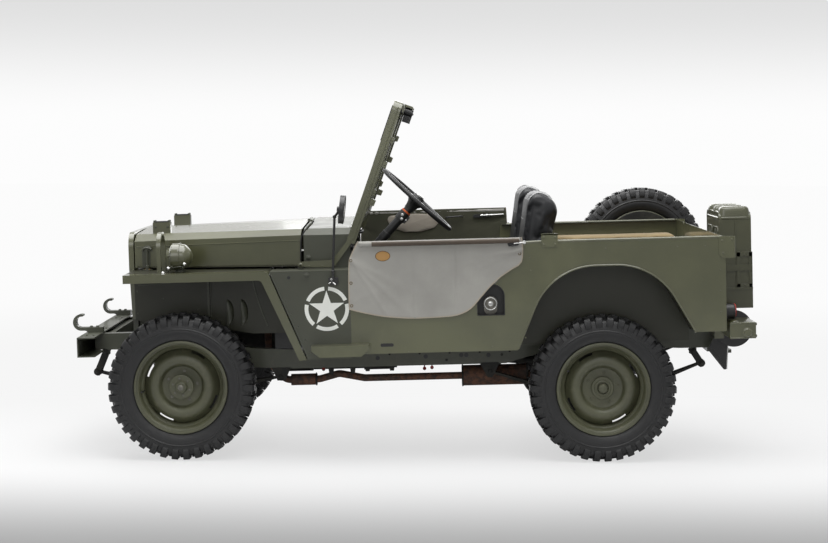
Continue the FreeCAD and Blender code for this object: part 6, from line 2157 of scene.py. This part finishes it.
NODE_FINISH = {
    # finish and soft edge in millimetres: the frame's parts
    ("black", 0): "steering_wheel",
    # painted shade: the filler in its recess takes the black finish, to show the recess dark
    ("black", 1): "wipers steering_column filler mirror",
    ("black", 2): "tail_lamps",
    ("can", 1.5): "can_carrier",
    ("can", 5): "fuel_can",
    ("canvas", 2): "door_left door_right",
    ("dark_olive", 1.5): "spare_carrier",
    ("dark_olive", 2): "front_bumper cowl tow_hook seat_bases",
    ("dark_olive", 2.5): "frame",
    # fender and side finishes carry painted shade on their inboard faces
    ("fender", 1.5): "fender_left fender_right",
    ("glass", 0): "windshield_glass",
    # painted shade: the floor takes the body's olive at half brightness
    ("inner", 1): "floor",
    ("olive", 2): "headlamps",
    ("olive", 3): "windshield hood",
    ("rubber", 0): "tyre_fl tyre_fr tyre_rl tyre_rr spare_tyre",
    ("rust", 0): "exhaust",
    ("side", 1.5): "side_left side_right",
    ("tan", 6): "bench_cushions",
    ("underbody", 0): "drag_link tie_rod drive_shafts",
    ("underbody", 1): "radiator springs_front springs_rear",
    ("underbody", 1.5): "bellcrank",
    ("underbody", 2): "pitman_arm knuckle_left knuckle_right axle_front axle_rear",
    ("underbody", 4): "engine",
    ("vinyl", 6): "seat_left seat_right",
    ("wheel", 1.5): "spare_rim rim_fl rim_fr rim_rl rim_rr",
}


OPERATORS = [FIELDCAR_OT_stage, FIELDCAR_OT_finishes, FIELDCAR_OT_wheels, FIELDCAR_OT_lamps,
             FIELDCAR_OT_front_trim, FIELDCAR_OT_marks, FIELDCAR_OT_screen_trim,
             FIELDCAR_OT_body_trim, FIELDCAR_OT_doors, FIELDCAR_OT_seats, FIELDCAR_OT_controls,
             FIELDCAR_OT_fuel_can, FIELDCAR_OT_rear_trim, FIELDCAR_OT_underneath]


class FIELDCAR_PT_panel(Panel):
    """Lists the car's settings and its pieces"""

    bl_idname = "FIELDCAR_PT_panel"
    bl_label = "Field Car"
    bl_space_type = "VIEW_3D"
    bl_region_type = "UI"
    bl_category = "Field Car"

    def draw(self, context):
        for group in (context.scene.car_sizes, context.scene.car_colours):
            column = self.layout.column()
            for key in group.bl_rna.properties.keys():
                if key not in {"rna_type", "name"}:
                    column.prop(group, key)
        for operator in OPERATORS:
            self.layout.operator(operator.bl_idname)


CLASSES = [CarColours, CarSizes, *OPERATORS, FIELDCAR_PT_panel]


def register():
    for item in CLASSES:
        bpy.utils.register_class(item)
    bpy.types.Scene.car_colours = bpy.props.PointerProperty(type=CarColours)
    bpy.types.Scene.car_sizes = bpy.props.PointerProperty(type=CarSizes)


def unregister():
    del bpy.types.Scene.car_sizes
    del bpy.types.Scene.car_colours
    for item in reversed(CLASSES):
        bpy.utils.unregister_class(item)


def main():
    register()
    for operator in OPERATORS:
        group, name = operator.bl_idname.split(".")
        getattr(getattr(bpy.ops, group), name)()


if __name__ == "__main__":
    main()
